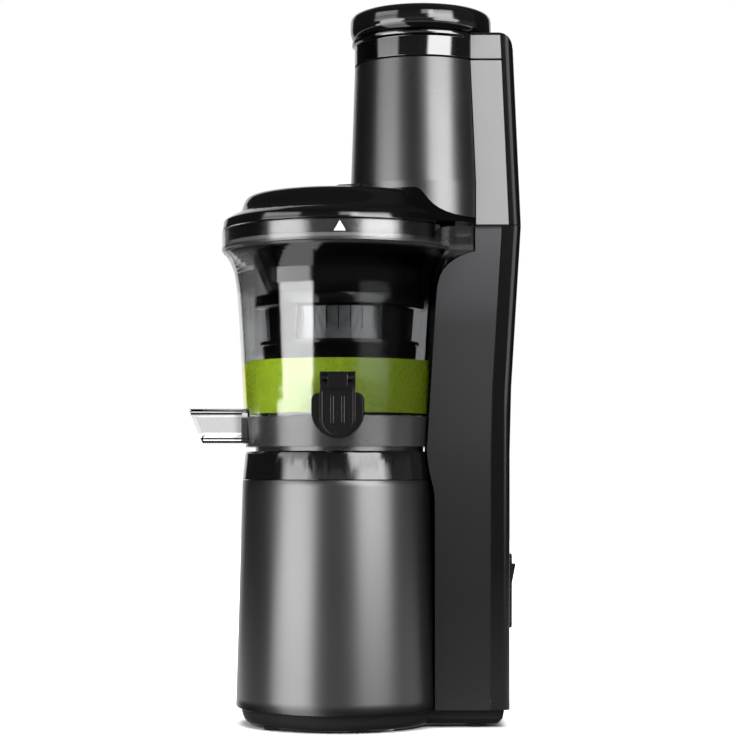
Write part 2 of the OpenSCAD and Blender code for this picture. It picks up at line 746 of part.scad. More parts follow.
module idler_pins() {
    color([0.78, 0.78, 0.80]) {
        translate([idler_1[0], idler_1[1], case_z + 1]) {
            cylinder(r = pin_r, h = 4);
            cylinder(r = pin_r - 0.8, h = cover_z + 2.4 - case_z - 1);
            translate([0, 0, layer_2_z + wheel_w_2 + 1.2 - case_z - 1])
                cylinder(r = pin_r, h = cover_z + 2.4 - layer_2_z - wheel_w_2 - 1.2);
        }
        translate([idler_2[0], idler_2[1], case_z + 1]) cylinder(r = pin_r, h = cover_z + 2.4 - case_z - 1);
    }
}

module output_bearings() {
    color([0.72, 0.52, 0.28]) {
        translate([0, 0, mid_z]) ring(lower_shaft_r + 2, lower_shaft_r + run, mid_t);
        translate([0, 0, cover_z + 0.2]) ring(shaft_r + 3, shaft_r + run, cover_t + 4);
    }
}

module shaft_seal() {
    color([0.08, 0.08, 0.08]) translate([0, 0, deck_z - deck_t])
        ring(shaft_r + 5, shaft_r + run, ring_z - deck_z + deck_t);
}

module motor_mounts() {
    color([0.06, 0.06, 0.06]) around(post_count, 45)
        translate([post_r, 0, cover_z + cover_t]) ring(6, 1.8, mount_t);
}

module gearbox_screws() {
    color([0.5, 0.5, 0.52]) {
        around(6, 15) translate([49, 0, cover_z]) {
            translate([0, 0, cover_t]) cylinder(r = 2.8, h = 1.8);
            translate([0, 0, 0.1]) cylinder(r = 1.5, h = cover_t);
        }
        around(post_count, 45) translate([post_r, 0, cover_z - 2]) {
            cylinder(r = 2.8, h = 1.9);
            cylinder(r = 1.4, h = 18);
        }
    }
}

// ---------------------------------------------------------------- electrics

board_x = column_rear_x - spine_depth - 12;

module control_board() {
    color([0.10, 0.30, 0.16]) {
        translate([board_x, -22, 112]) cube([1.6, 44, 60]);
        translate([board_x - 10, -16, 118]) cube([10, 12, 18]);
        translate([board_x - 8, 2, 120]) cube([8, 14, 10]);
        translate([board_x - 12, -6, 146]) cube([12, 20, 14]);
        for (y = [-17, 17], z = [116, 168]) translate([board_x + 1.6, y, z])
            rotate([0, 90, 0]) cylinder(r = 2.5, h = spine_depth + 12 - 1.6 - wall - 0.2);
    }
}

module run_capacitor() {
    color([0.82, 0.83, 0.84]) translate([base_r + 18.6, 0, plate_z + wall + 0.1]) {
        cylinder(r = 11, h = 34);
        for (y = [-4, 4]) translate([-0.4, y - 1.5, 34]) cube([0.8, 3, 7]);
    }
}

sensor_z = seam_z - top_wall - 12;

module lid_sensor() {
    color([0.85, 0.85, 0.82]) translate([column_rear_x - spine_depth + 4, 0, sensor_z]) {
        translate([0, -9, 0]) cube([5, 18, 12 - 0.2]);
        translate([5 - eps, -4, 3]) cube([4, 8, 7]);
    }
}

// sits in the hollow of the upper spine, above the sensor
module lid_magnet() {
    color([0.7, 0.7, 0.72]) translate([chute_x + chute_foot_r + 4.3, -8, seam_z + 2])
        cube([5.4, 16, 4]);
}

// ---------------------------------------------------------------- bowl

stem_r = 11;                              // radius of the auger's stem in the bowl's hub
bowl_hub_r = stem_r + 5;
pulp_x = -32;                             // where the pulp falls through the floor
pulp_r = 8.5;
spout_tilt = 22;                          // slant of the spout's open end
spout_wall = 2.4;
spout_z = channel_z - spout_wall;         // underside of the spout

function bowl_inner() = [for (p = bowl_outline(-bowl_wall)) if (p[1] > juice_z) p];

// round-cornered bar along -X from from_x to to_x, its underside at z
module bar(half_w, z, h, from_x, to_x) {
    translate([from_x, 0, z + h / 2]) rotate([0, -90, 0])
        linear_extrude(height = from_x - to_x) rounded_rect(h / 2, half_w, min(4, h / 2 - 0.1));
}

// the pulp channel, grown by grow
module channel_bar(grow, from_x, to_x) {
    bar(spout_w / 2 + grow, channel_z - grow, channel_h + 2 * grow, from_x, to_x);
}

// the spout outside the bowl's wall, its mouth cut on a slant with the longer edge on top
module spout() {
    difference() {
        bar(spout_w / 2 + spout_wall, spout_z, spout_h, -bowl_foot_r + 2, -spout_reach - 2);
        translate([-spout_reach, -big / 2, spout_z + spout_h])
            rotate([0, -spout_tilt, 0]) translate([-big, 0, -big / 2]) cube([big, big, big]);
    }
}

module spout_hollow() {
    bar(spout_w / 2, channel_z, spout_h - 2 * spout_wall, -bowl_foot_r - 1.6, -big / 2);
}

tab_gap = 1.4;                            // gap between the tab and the column's cradle

// the block that the rim band's tab and the web under it are cut from, shrunk by g
module tab_block(g) {
    intersection() {
        cradle_cut(-tab_gap - g);
        translate([0, -tab_half_w + g, bowl_z + 99 + g])
            cube([big, 2 * (tab_half_w - g), rim_z - bowl_z - 99 + (g > 0 ? 5 : 0)]);
    }
}

// outside of the bowl without its spout and tab
module bowl_body() {
    revolve(concat(
        [[0, deck_z + fit], [spigot_r - 1, deck_z + fit], [spigot_r, deck_z + fit + 1],
         [spigot_r, bowl_z]],
        bowl_outline(0),
        [[rim_r - 1, rim_z - band_h - 1.2], [rim_r - 0.6, rim_z - band_h], [rim_r, rim_z - band_h + 0.4],
         [rim_r, rim_z - 0.8], [rim_r - 0.8, rim_z], [0, rim_z]]
    ));
}

module bowl_cavity() {
    revolve(concat(
        [[0, juice_z], [bowl_foot_r - bowl_wall + 1, juice_z]],
        bowl_inner(),
        [[rim_r - 5, rim_z - band_h], [rim_r - 3.4, rim_z - band_h + 1],
         [rim_r - 3.4, rim_z + 1], [0, rim_z + 1]]
    ));
}

module bowl() {
    color([0.80, 0.82, 0.84, 0.4]) difference() {
        union() {
            bowl_body();
            difference() {
                tab_block(0);
                difference() {
                    tab_block(2.4);
                    cylinder(r = rim_r - 1, h = big);
                }
            }
            spout();
        }
        difference() {
            bowl_cavity();
            translate([0, 0, juice_z - eps]) ring(bowl_hub_r - 1, stem_r + 0.4, 5);
        }
        // hollow between the two floors, either side of the pulp channel
        difference() {
            translate([0, 0, channel_z]) cylinder(r = bowl_foot_r - bowl_wall, h = channel_h);
            cylinder(r = bowl_hub_r, h = big);
            channel_bar(bowl_wall, 0, -big / 2);
        }
        // recess under the foot, round the drive's hub
        difference() {
            translate([0, 0, bowl_z - 20]) cylinder(r = spigot_r - 3, h = 20);
            translate([0, 0, ring_z + 1.4]) cylinder(r = bowl_hub_r, h = 20);
        }
        channel_bar(0, -bowl_hub_r, -big / 2);
        spout_hollow();
        channel_bar(1, -gasket_x, -gasket_x - gasket_w);
        translate([pulp_x, 0, channel_z + 2]) cylinder(r = pulp_r, h = 20);
        translate([0, 0, bowl_z - 10]) cylinder(r = stem_r + 0.4, h = 60);
        translate([0, -bowl_foot_r + 8, nozzle_bore_z]) rotate([90, 0, 0])
            cylinder(r = nozzle_bore_r, h = 40);
    }
}

nozzle_bore_z = juice_z + nozzle_bore_r - 1.2;
nozzle_z = nozzle_bore_z - 4.6;           // centre of the nozzle's round lower end
nozzle_root = bowl_foot_r + 2.9;          // where the nozzle meets the bowl's wall
nozzle_top = nozzle_z + 11;               // top of the nozzle's shoulders
hinge_z = nozzle_z + 19.6;
hinge_y = -(nozzle_reach - 4);
hinge_pin_r = 1.6;
hinge_half_w = 10.4;                      // half the width across the hinge's ears
barrel_half_w = 5.7;                      // half the width of the cap's hinge barrel
cap_t = 5;                                // thickness of the stopper cap
cap_r = 10.4;                             // half the cap's width and the radius of its lower end
cap_z = nozzle_z - 5;                     // centre of the cap's lower end
shoulder_r = 4.5;

// a shield: round at the bottom, upright sides, rounded shoulders
module shield(r, centre_z, top_z, corner_r) {
    translate([0, centre_z]) circle(r = r);
    translate([-r, centre_z]) square([2 * r, top_z - corner_r - centre_z]);
    translate([-r + corner_r, centre_z]) square([2 * (r - corner_r), top_z - centre_z]);
    for (side = [-1, 1]) translate([side * (r - corner_r), top_z - corner_r]) circle(r = corner_r);
}

// extrudes the upright outline in its children toward -Y, from y0 to y1
module toward_front(y0, y1) {
    translate([0, y0, 0]) rotate([90, 0, 0]) linear_extrude(height = y0 - y1) children();
}

module juice_nozzle() {
    face_y = -nozzle_reach + 4;           // front of the body, under the cap
    color([0.05, 0.05, 0.05]) difference() {
        union() {
            toward_front(-nozzle_root + 3, face_y + 2) shield(nozzle_r, nozzle_z, nozzle_top, shoulder_r);
            toward_front(face_y + 2, face_y) shield(nozzle_r - 1, nozzle_z, nozzle_top - 1, shoulder_r - 1);
            translate([0, face_y + 1, nozzle_bore_z]) rotate([90, 0, 0])
                ring(nozzle_bore_r + 1.8, nozzle_bore_r, 2.6);
            // the hinge: two ears in front of a block
            for (side = [-1, 1]) mirror([side < 0 ? 1 : 0, 0, 0]) {
                translate([barrel_half_w + 0.3, hinge_y, hinge_z]) rotate([0, 90, 0])
                    cylinder(r = hinge_ear_r, h = hinge_half_w - barrel_half_w - 0.3);
                translate([barrel_half_w + 0.3, hinge_y, nozzle_top - 3])
                    cube([hinge_half_w - barrel_half_w - 0.3, 8, hinge_z + hinge_ear_r - nozzle_top + 3]);
                translate([barrel_half_w + 0.3, hinge_y - hinge_ear_r + 1, nozzle_top - 3])
                    cube([hinge_half_w - barrel_half_w - 0.3, 8, hinge_z - nozzle_top + 3]);
            }
            translate([-hinge_half_w, hinge_y + 5, nozzle_top - 3])
                cube([2 * hinge_half_w, nozzle_reach - nozzle_root - 7, hinge_z + hinge_ear_r - nozzle_top + 3]);
        }
        translate([0, 0, nozzle_bore_z]) rotate([90, 0, 0]) cylinder(r = nozzle_bore_r, h = 200);
        translate([0, hinge_y, hinge_z]) rotate([0, 90, 0]) cylinder(r = hinge_pin_r, h = 60, center = true);
        // sits on the bowl's curved wall
        revolve(concat(
            [[0, bowl_z - 10], [bowl_foot_r + 0.1, bowl_z - 10]],
            bowl_outline(0.1), [[0, rim_z - band_h - 1.2]]
        ));
    }
}

hinge_ear_r = 3.9;                        // radius of the hinge's ears

module nozzle_pin() {
    color([0.75, 0.75, 0.77]) translate([0, hinge_y, hinge_z]) rotate([0, 90, 0])
        cylinder(r = hinge_pin_r - run, h = 2 * hinge_half_w - 0.4, center = true);
}

// U-shaped stopper that hangs from the hinge and closes the bore, with a bead round its edge
module juice_cap() {
    face_y = -nozzle_reach - 0.2;
    neck_z = hinge_z - 5;                 // top of the cap's full width
    bead = 1.4;
    color([0.05, 0.05, 0.05]) difference() {
        union() {
            toward_front(face_y, face_y - cap_t + 1) shield(cap_r, cap_z, neck_z, 3);
            toward_front(face_y - cap_t + 2, face_y - cap_t) difference() {
                shield(cap_r, cap_z, neck_z, 3);
                shield(cap_r - bead, cap_z, neck_z - bead, 2);
            }
            translate([0, hinge_y, hinge_z]) rotate([0, 90, 0])
                cylinder(r = hinge_ear_r, h = 2 * barrel_half_w, center = true);
            translate([-barrel_half_w, face_y - cap_t + 1, neck_z - 2])
                cube([2 * barrel_half_w, cap_t - 1, hinge_z - neck_z + 2 + hinge_ear_r - 1]);
            translate([-barrel_half_w, face_y - 1, hinge_z - hinge_ear_r])
                cube([2 * barrel_half_w, hinge_y - face_y + 1, 2 * hinge_ear_r - 1]);
            // grip ribs
            for (side = [-1, 1]) translate([side * 3.2 - 0.8, face_y - cap_t, cap_z - 2])
                cube([1.6, 2, neck_z - cap_z - 4]);
        }
        translate([0, hinge_y, hinge_z]) rotate([0, 90, 0])
            cylinder(r = hinge_pin_r, h = 60, center = true);
        translate([0, face_y + eps, nozzle_bore_z]) rotate([90, 0, 0])
            cylinder(r = nozzle_bore_r - 2, h = 1.6);
    }
}

module cap_seal() {
    color([0.25, 0.25, 0.26]) translate([0, -nozzle_reach + 3.4, nozzle_bore_z]) rotate([90, 0, 0])
        union() {
            cylinder(r = nozzle_bore_r - 0.5, h = 3.4);
            cylinder(r = nozzle_bore_r - 2.1, h = 5);
        }
}

module bowl_seal() {
    color([0.75, 0.75, 0.73]) translate([0, 0, juice_z + 5]) ring(bowl_hub_r - 1.2, stem_r + 0.2, 1.6);
}

gasket_x = bowl_foot_r - bowl_wall - 1.6; // distance of the spout's gasket from the drive axis
gasket_w = 1.6;

// lies in a groove round the channel, flush with its walls
module spout_gasket() {
    color([0.08, 0.08, 0.08]) difference() {
        channel_bar(0.95, -gasket_x - 0.1, -gasket_x - gasket_w + 0.1);
        channel_bar(0.05, -gasket_x + 1, -gasket_x - gasket_w - 1);
    }
}

// ---------------------------------------------------------------- strainer

strainer_z = juice_z + 0.3;               // underside of the strainer
mesh_top_z = juice_z + 71;
mesh_t = 0.7;
window_z = mesh_top_z - window_h - 2;
function mesh_r(z) = mix(mesh_r_foot, mesh_r_top, (z - strainer_z) / (mesh_top_z - strainer_z));

module strainer_frame() {
    t = 2.4;
    g = mesh_t + 0.1;
    color([0.06, 0.06, 0.06]) difference() {
        union() {
            revolve([
                [mesh_r(strainer_z) + g, strainer_z], [mesh_r(strainer_z) + g + t, strainer_z],
                [mesh_r(mesh_top_z) + g + t, mesh_top_z - 1], [mesh_r(mesh_top_z) + g + t + 3.4, mesh_top_z],
                [mesh_r(mesh_top_z) + g + t + 3.4, mesh_top_z + 4], [mesh_r(mesh_top_z) + g + 1, mesh_top_z + 4],
                [mesh_r(mesh_top_z) - 1, mesh_top_z + 4], [mesh_r(mesh_top_z) - 1, mesh_top_z + 0.2],
                [mesh_r(mesh_top_z) + g, mesh_top_z + 0.2]
            ]);
            translate([0, 0, strainer_z]) cylinder(r = mesh_r(strainer_z) + g + 1, h = 2.6);
            translate([0, 0, window_z - 6]) difference() {
                cylinder(r = mesh_r(window_z) + g + t + 1.2, h = 3);
                translate([0, 0, -1]) cylinder(r = mesh_r(window_z - 6) + g + 0.6, h = 6);
            }
        }
        around(window_count, 12) translate([20, 0, window_z]) 
            translate([0, -mesh_r_top * sin(180 / window_count) + 2.4, 0])
                cube([60, 2 * (mesh_r_top * sin(180 / window_count) - 2.4), window_h]);
        translate([0, 0, strainer_z - eps]) cylinder(r = bowl_hub_r - 0.6, h = 6);
        translate([pulp_x, 0, strainer_z - eps]) cylinder(r = pulp_r - 1, h = 6);
    }
}

module strainer_mesh() {
    slits = 40;
    z0 = strainer_z + 2.8;
    color([0.78, 0.78, 0.80]) difference() {
        revolve([
            [mesh_r(z0), z0], [mesh_r(z0) + mesh_t, z0],
            [mesh_r(mesh_top_z) + mesh_t, mesh_top_z], [mesh_r(mesh_top_z), mesh_top_z]
        ]);
        around(slits) translate([30, -0.3, window_z + 2]) cube([30, 0.6, window_h - 4]);
    }
}

green_z = juice_z + 2;

module strainer_base() {
    outer = [for (p = bowl_outline(-bowl_wall - 0.4)) if (p[1] > green_z && p[1] < green_z + green_h - 1) p];
    sleeve_r = mesh_r_foot + mesh_t + 2.9;
    flare = mesh_r(green_z + green_h) + mesh_t + 2.9;
    spokes = 8;
    top_r = outer[len(outer) - 1][0] + 0.2;
    color([0.50, 0.65, 0.05]) difference() {
        union() {
            revolve(concat(
                [[outer[0][0] - 2.6, green_z], [outer[0][0] - 0.2, green_z]], outer,
                [[top_r, green_z + green_h], [top_r - 2.8, green_z + green_h]]
            ));
            intersection() {
                around(spokes, 22.5) translate([sleeve_r - 1, -1.2, green_z + 6])
                    cube([40, 2.4, green_h - 7]);
                difference() {
                    cylinder(r = top_r - 2, h = big);
                    revolve([
                        [0, strainer_z], [mesh_r(strainer_z) + mesh_t + 2.6, strainer_z],
                        [flare + (mesh_r(rim_z) - mesh_r(green_z + green_h)), rim_z], [0, rim_z]
                    ]);
                }
            }
        }
        // lets the juice through to the nozzle
        translate([-nozzle_bore_r - 1, -bowl_foot_r - 10, green_z - 1])
            cube([2 * nozzle_bore_r + 2, 30, nozzle_bore_z + nozzle_bore_r - green_z + 1]);
    }
}

// ---------------------------------------------------------------- auger

auger_z = juice_z + 7;                    // underside of the auger's cone
auger_top_z = juice_z + 92;
flight_gap = 0.9;                         // clearance between the flights and the mesh

// radius of the auger's body at height z
function auger_r(z) = let (t = (z - auger_z) / (auger_top_z - auger_z)) mix(31, 7, pow(max(0, min(1, t)), 0.8));
// reach of the flights at height z
function flight_r(z) = z < mesh_top_z
    ? mesh_r(z) - flight_gap
    : mix(mesh_r(mesh_top_z) - flight_gap - 3, 20, (z - mesh_top_z) / (auger_top_z - mesh_top_z));

module flight(start) {
    rings = 36;
    z0 = auger_z + 1;
    z1 = auger_top_z - 8;
    section = [for (i = [0:rings]) let (
        z = mix(z0, z1, i / rings), a = start + 360 * (z - z0) / flight_pitch,
        r0 = auger_r(z) - 1.5, r1 = min(flight_r(z - flight_t / 2), flight_r(z + flight_t / 2)),
        t0 = flight_t / 2, t1 = flight_t / 4
    ) [
        [r0 * cos(a), r0 * sin(a), z - t0], [r1 * cos(a), r1 * sin(a), z - t1],
        [r1 * cos(a), r1 * sin(a), z + t1], [r0 * cos(a), r0 * sin(a), z + t0]
    ]];
    sides = [for (i = [0:rings - 1], k = [0:3]) let (
        a = i * 4 + k, b = i * 4 + (k + 1) % 4, c = a + 4, d = b + 4
    ) each [[a, b, c], [b, d, c]]];
    polyhedron(points = [for (s = section) each s],
        faces = concat([[2, 1, 0], [3, 2, 0]], sides,
            [for (f = [[0, 1, 2], [0, 2, 3]]) [for (k = f) k + rings * 4]]));
}

module auger() {
    stem_z = bowl_z - 1;
    color([0.07, 0.07, 0.08]) difference() {
        union() {
            revolve(concat(
                [[0, stem_z], [stem_r, stem_z], [stem_r, auger_z], [auger_r(auger_z), auger_z]],
                [for (i = [1:8]) let (z = mix(auger_z, auger_top_z, i / 8)) [auger_r(z), z]],
                [[0, auger_top_z]]
            ));
            for (i = [0:flight_count - 1]) flight(i * 360 / flight_count);
        }
        translate([0, 0, stem_z - eps]) cylinder(r = hex_r + 0.25, h = shaft_top_z + 1 - stem_z, $fn = 6);
        translate([0, 0, auger_top_z - 9]) cylinder(r = auger_pin_r, h = 20);
    }
}

auger_pin_r = 3;
auger_pin_top = auger_top_z + 11;

module auger_pin() {
    color([0.82, 0.82, 0.84]) union() {
        translate([0, 0, auger_top_z - 9]) cylinder(r = auger_pin_r, h = auger_pin_top - auger_top_z + 8);
        translate([0, 0, auger_pin_top - 1 - eps]) cylinder(r1 = auger_pin_r, r2 = 1.5, h = 1);
    }
}

// ---------------------------------------------------------------- lid and chute

dome_z = rim_z + 23.9;                    // crown of the lid
lid_r = rim_r - 0.6;                      // radius of the lid's flange
lid_t = 2.6;
chute_foot_r = chute_bore_r + chute_wall + 2.6; // outer radius of the tube near its foot
chute_r = chute_bore_r + chute_wall;      // outer radius of the tube at its collar
shelf_z = rim_z + 1.8;                    // underside of the shelf under the tube
tube_z = rim_z + 6;                       // where the tube stands on the lid's shelf
funnel_top_r = rim_r - 17;
funnel_foot_r = mesh_r_top - 1.6;
funnel_z = mesh_top_z + 5;                // bottom edge of the lid's funnel

function dome() = concat(
    [[lid_r, rim_z + 1], [lid_r - 0.4, rim_z + 4.8], [lid_r - 1.2, rim_z + 5.8],
     [rim_r - 5.7, rim_z + 8.2], [rim_r - 10.9, rim_z + 10.2], [rim_r - 12.1, rim_z + 12]],
    bezier([rim_r - 12.7, rim_z + 14], [rim_r - 15, rim_z + 20.4],
        [rim_r - 15.2, rim_z + 20.8], [rim_r - 26, dome_z - 2], 7)
);

boss_z = rim_z + 21.6;                    // top of the boss round the tube's foot
boss_low_z = rim_z + 5;                   // top of the boss at its rear

// what lies under the wavy edge between the boss and the tube, raised by g
module under_boss_edge(g) {
    rotate([90, 0, 0]) linear_extrude(height = 4 * column_half_w, center = true) polygon(concat(
        [[-20, shelf_z], [-20, boss_z + g]],
        bezier([chute_x - 5, boss_z + g], [chute_x + 3, boss_z + g],
            [chute_x + 1, boss_low_z + 1.5 + g], [chute_x + 27, boss_low_z + g], 10),
        [[big / 2, boss_low_z + g], [big / 2, shelf_z]]
    ));
}

// the raised step of the lid on the drive's side of the tube, grown by g
module boss_step(g) {
    intersection() {
        translate([chute_x, 0, 0]) cylinder(r = chute_foot_r + 12.4 + g, h = big);
        rotate([90, 0, 0]) linear_extrude(height = 48 + 2 * g, center = true) polygon([
            [-20, boss_low_z], [-20, dome_z + 1.1 + g], [chute_x - chute_foot_r + 6, dome_z + 2.6 + g],
            [chute_x - chute_foot_r + 6, boss_low_z]
        ]);
    }
}

// what lies under the slope that leads food from the tube's rear into the bowl
module under_slope() {
    rotate([90, 0, 0]) linear_extrude(height = 4 * column_half_w, center = true) polygon([
        [0, shelf_z], [0, tube_z - 1.5], [rim_r - 16.5, tube_z - 1.5], [chute_x + chute_bore_r + 1, tube_z + 13],
        [chute_x + chute_bore_r + 1, shelf_z]
    ]);
}

// the lid's outside, down to its flange, grown by g
module dome_body(g) {
    translate([0, 0, g]) revolve(concat([[0, rim_z + fit - g]], [[lid_r + g, rim_z + fit - g]], dome(), [[0, dome_z]]));
}

module lid() {
    spigot = rim_r - 3.4 - fit;
    color([0.05, 0.05, 0.05]) difference() {
        union() {
            difference() {
                revolve(concat(
                    [[0, funnel_z]],
                    [[funnel_foot_r, funnel_z], [funnel_top_r, rim_z - band_h], [spigot - 4, rim_z - band_h + 4],
                     [spigot, rim_z - band_h + 5], [spigot, rim_z + fit], [lid_r, rim_z + fit]],
                    dome(), [[0, dome_z]]
                ));
                revolve([
                    [0, funnel_z - 1], [funnel_foot_r - lid_t + 0.4, funnel_z - 1],
                    [funnel_top_r - lid_t, rim_z - band_h], [rim_r - 14, rim_z + 9],
                    [rim_r - 18, rim_z + 17.5], [rim_r - 31, dome_z - 4], [0, dome_z - 2.6]
                ]);
            }
            translate([0, 0, auger_top_z + 1]) cylinder(r = 9, h = dome_z - 2 - auger_top_z);
            // boss that carries the feed tube where it overhangs the bowl
            intersection() {
                translate([chute_x, 0, shelf_z]) cylinder(r = chute_foot_r - 0.2, h = 40);
                under_boss_edge(0);
            }
            difference() {
                boss_step(0);
                cylinder(r = big, h = dome_z - 3.6);
            }
            intersection() {
                translate([chute_x, 0, shelf_z]) cylinder(r = chute_bore_r - 0.1, h = 40);
                under_slope();
            }
        }
        // what falls down the tube passes through the dome into the funnel
        intersection() {
            translate([chute_x, 0, rim_z]) cylinder(r = chute_bore_r, h = 80);
            translate([0, 0, rim_z]) cylinder(r = rim_r - 15.5, h = 80);
        }
        difference() {
            translate([chute_x, 0, tube_z - 1.5]) cylinder(r = chute_bore_r, h = 80);
            under_slope();
        }
        translate([0, 0, auger_top_z]) cylinder(r = auger_pin_r + run, h = auger_pin_top + 0.4 - auger_top_z);
    }
}

module lid_gasket() {
    spigot = rim_r - 3.4 - fit;
    color([0.55, 0.55, 0.53]) revolve([
        [spigot - 4.1, rim_z - band_h + 1.2], [spigot - 1.2, rim_z - band_h + 1.2],
        [spigot - 0.4, rim_z - band_h + 4.6], [spigot - 3.9, rim_z - band_h + 3.8]
    ]);
}

module chute_tube() {
    color([0.36, 0.36, 0.37]) difference() {
        revolve_at(chute_x, [
            [chute_bore_r, shelf_z], [chute_foot_r, shelf_z], [chute_foot_r, tube_z + 20],
            [chute_r, collar_top_z - collar_h], [chute_bore_r, collar_top_z - collar_h]
        ]);
        under_boss_edge(0.1);
        boss_step(0.1);
        dome_body(0.1);
    }
}

module revolve_at(x, points) {
    translate([x, 0, 0]) revolve(points);
}

collar_lip = 1.9;                         // how far the collar's lip stands out of the tube

module chute_collar() {
    z0 = collar_top_z - collar_h + 0.1;
    band_r = chute_r + 0.2;
    color([0.03, 0.03, 0.03]) difference() {
        revolve_at(chute_x, [
            [chute_bore_r, z0], [band_r, z0], [band_r, collar_top_z - 3.6],
            [chute_r + collar_lip - 0.1, collar_top_z - 2.6], [chute_r + collar_lip, collar_top_z - 0.8],
            [chute_r + collar_lip - 0.7, collar_top_z], [chute_bore_r + 1, collar_top_z],
            [chute_bore_r, collar_top_z - 1]
        ]);
        // the lip ends where the upper spine begins
        difference() {
            translate([panel_front - 3, -big / 2, collar_top_z - 5]) cube([big, big, 10]);
            translate([chute_x, 0, 0]) cylinder(r = band_r, h = big);
        }
    }
}

panel_t = 2.4;                            // thickness of the light side panels
panel_rear = 7.6;                         // distance of the panels' rear edge from the rear face
panel_front = chute_x + chute_r - 12.6;   // front edge of the upper spine
top_corner_r = 9;
panel_gap = 1.2;

module chute_spine() {
    color([0.06, 0.06, 0.06]) difference() {
        intersection() {
            spine_sweep(seam_z + 0.3, collar_top_z + 0.4)
                polygon(column_points(column_half_w, column_corner_r, column_depth));
            spine_top_profile(collar_top_z + 0.4, top_corner_r);
            translate([panel_front, -big / 2, 0]) cube([big, big, big]);
        }
        for (side = [-1, 1]) intersection() {
            translate([0, side * (column_half_w - panel_t + 50) - 50, 0]) cube([big, 100, 2 * big]);
            panel_region(0);
        }
        spine_tube_cut();
        intersection() {
            spine_sweep(seam_z - 1, collar_top_z - 6) translate([-22, -column_half_w + 6])
                square([17, 2 * column_half_w - 12]);
            translate([chute_x + chute_foot_r + 4, -big / 2, 0]) cube([big, big, 2 * big]);
        }
    }
}

module spine_tube_cut() {
    revolve_at(chute_x, [
        [0, seam_z - 20], [chute_foot_r + fit, seam_z - 20], [chute_foot_r + fit, tube_z + 20],
        [chute_r + 0.2 + fit, collar_top_z - collar_h], [chute_r + 0.2 + fit, collar_top_z + 5],
        [0, collar_top_z + 5]
    ]);
    translate([0, 0, seam_z - 20]) cylinder(r = tab_r + 0.6, h = 20 + 1.6);
}

// side view of the spine with its rounded top rear corner
module spine_top_profile(top_z, r) {
    rear = rear_x(seam_z) - tan(lean_in) * (top_z - seam_z);
    rotate([90, 0, 0]) linear_extrude(height = 4 * column_half_w, center = true) {
        square([rear + 30, top_z - r]);
        translate([0, top_z - r - 1]) square([rear - r, r + 1]);
        translate([rear - r, top_z - r]) circle(r = r);
    }
}

// the strip of the spine's side that the light panels cover
module panel_region(g) {
    difference() {
        spine_sweep(seam_z + 0.3 + g, collar_top_z - 1 - g) translate([-column_depth, -3 * column_half_w])
            square([column_depth - panel_rear - g, 6 * column_half_w]);
        revolve_at(chute_x, [
            [0, seam_z - 20], [chute_foot_r + 0.2 + g, seam_z - 20], [chute_foot_r + 0.2 + g, tube_z + 20],
            [chute_r + 0.3 + g, collar_top_z - collar_h], [chute_r + 0.3 + g, collar_top_z],
            [0, collar_top_z]
        ]);
        translate([0, 0, seam_z - 20]) cylinder(r = tab_r + 0.4 + g, h = 21.4 + g);
    }
}

panel_seam_z = collar_top_z - collar_h - 0.4; // middle of the gap between the panels

module side_panels(z0, z1) {
    for (side = [-1, 1]) intersection() {
        panel_region(0.1);
        translate([0, side > 0 ? column_half_w - panel_t + 0.05 : -column_half_w, 0])
            cube([column_rear_x + 40, panel_t - 0.05, big]);
        slab(z0, z1);
    }
}

module spine_panels() {
    color([0.68, 0.68, 0.68]) side_panels(seam_z, panel_seam_z - panel_gap / 2);
}

module spine_top_panels() {
    color([0.68, 0.68, 0.68]) side_panels(panel_seam_z + panel_gap / 2, collar_top_z);
}

// ---------------------------------------------------------------- tamper

tamper_r = chute_bore_r - 1.2;
cap_r_out = chute_r + 2.8;

module tamper_body() {
    z1 = collar_top_z + 0.4;
    z0 = z1 - tamper_reach;
    color([0.10, 0.10, 0.10]) difference() {
        revolve_at(chute_x, [
            [0, z0], [tamper_r - 4, z0], [tamper_r, z0 + 4], [tamper_r, z1], [0, z1]
        ]);
        translate([chute_x, 0, z0 + 3]) difference() {
            cylinder(r = tamper_r - 2.6, h = tamper_reach - 5);
            for (a = [0:60:120]) rotate([0, 0, a]) translate([-50, -1, -1]) cube([100, 2, 14]);
        }
        revolve_at(chute_x, [
            [tamper_r - 1.5, z0 + 7.8], [tamper_r + 1, z0 + 7.8], [tamper_r + 1, z0 + 11.2], [tamper_r - 1.5, z0 + 11.2]
        ]);
    }
}

module tamper_ring() {
    z0 = collar_top_z + 0.4 - tamper_reach + 8;
    color([0.55, 0.55, 0.53]) revolve_at(chute_x, [
        [tamper_r - 1.4, z0], [tamper_r + 0.4, z0], [tamper_r + 0.8, z0 + 1.5], [tamper_r + 0.4, z0 + 3],
        [tamper_r - 1.4, z0 + 3]
    ]);
}

module tamper_cap() {
    z0 = collar_top_z + 0.5;
    top = z0 + cap_h - 0.6;
    color([0.09, 0.09, 0.09]) difference() {
        revolve_at(chute_x, concat(
            [[0, z0], [cap_r_out - 2, z0]],
            bezier([cap_r_out - 1, z0 + 0.8], [cap_r_out, z0 + 1.6], [cap_r_out, z0 + 3], [cap_r_out, z0 + 5], 4),
            arc([cap_r_out - 3, top - 3], 3, 0, 80, 5),
            [[0, top + 1]]
        ));
        revolve_at(chute_x, [
            [0, z0 - 1], [tamper_r - 6, z0 - 1], [tamper_r - 6, z0 + cap_h - 6], [0, z0 + cap_h - 6]
        ]);
    }
}

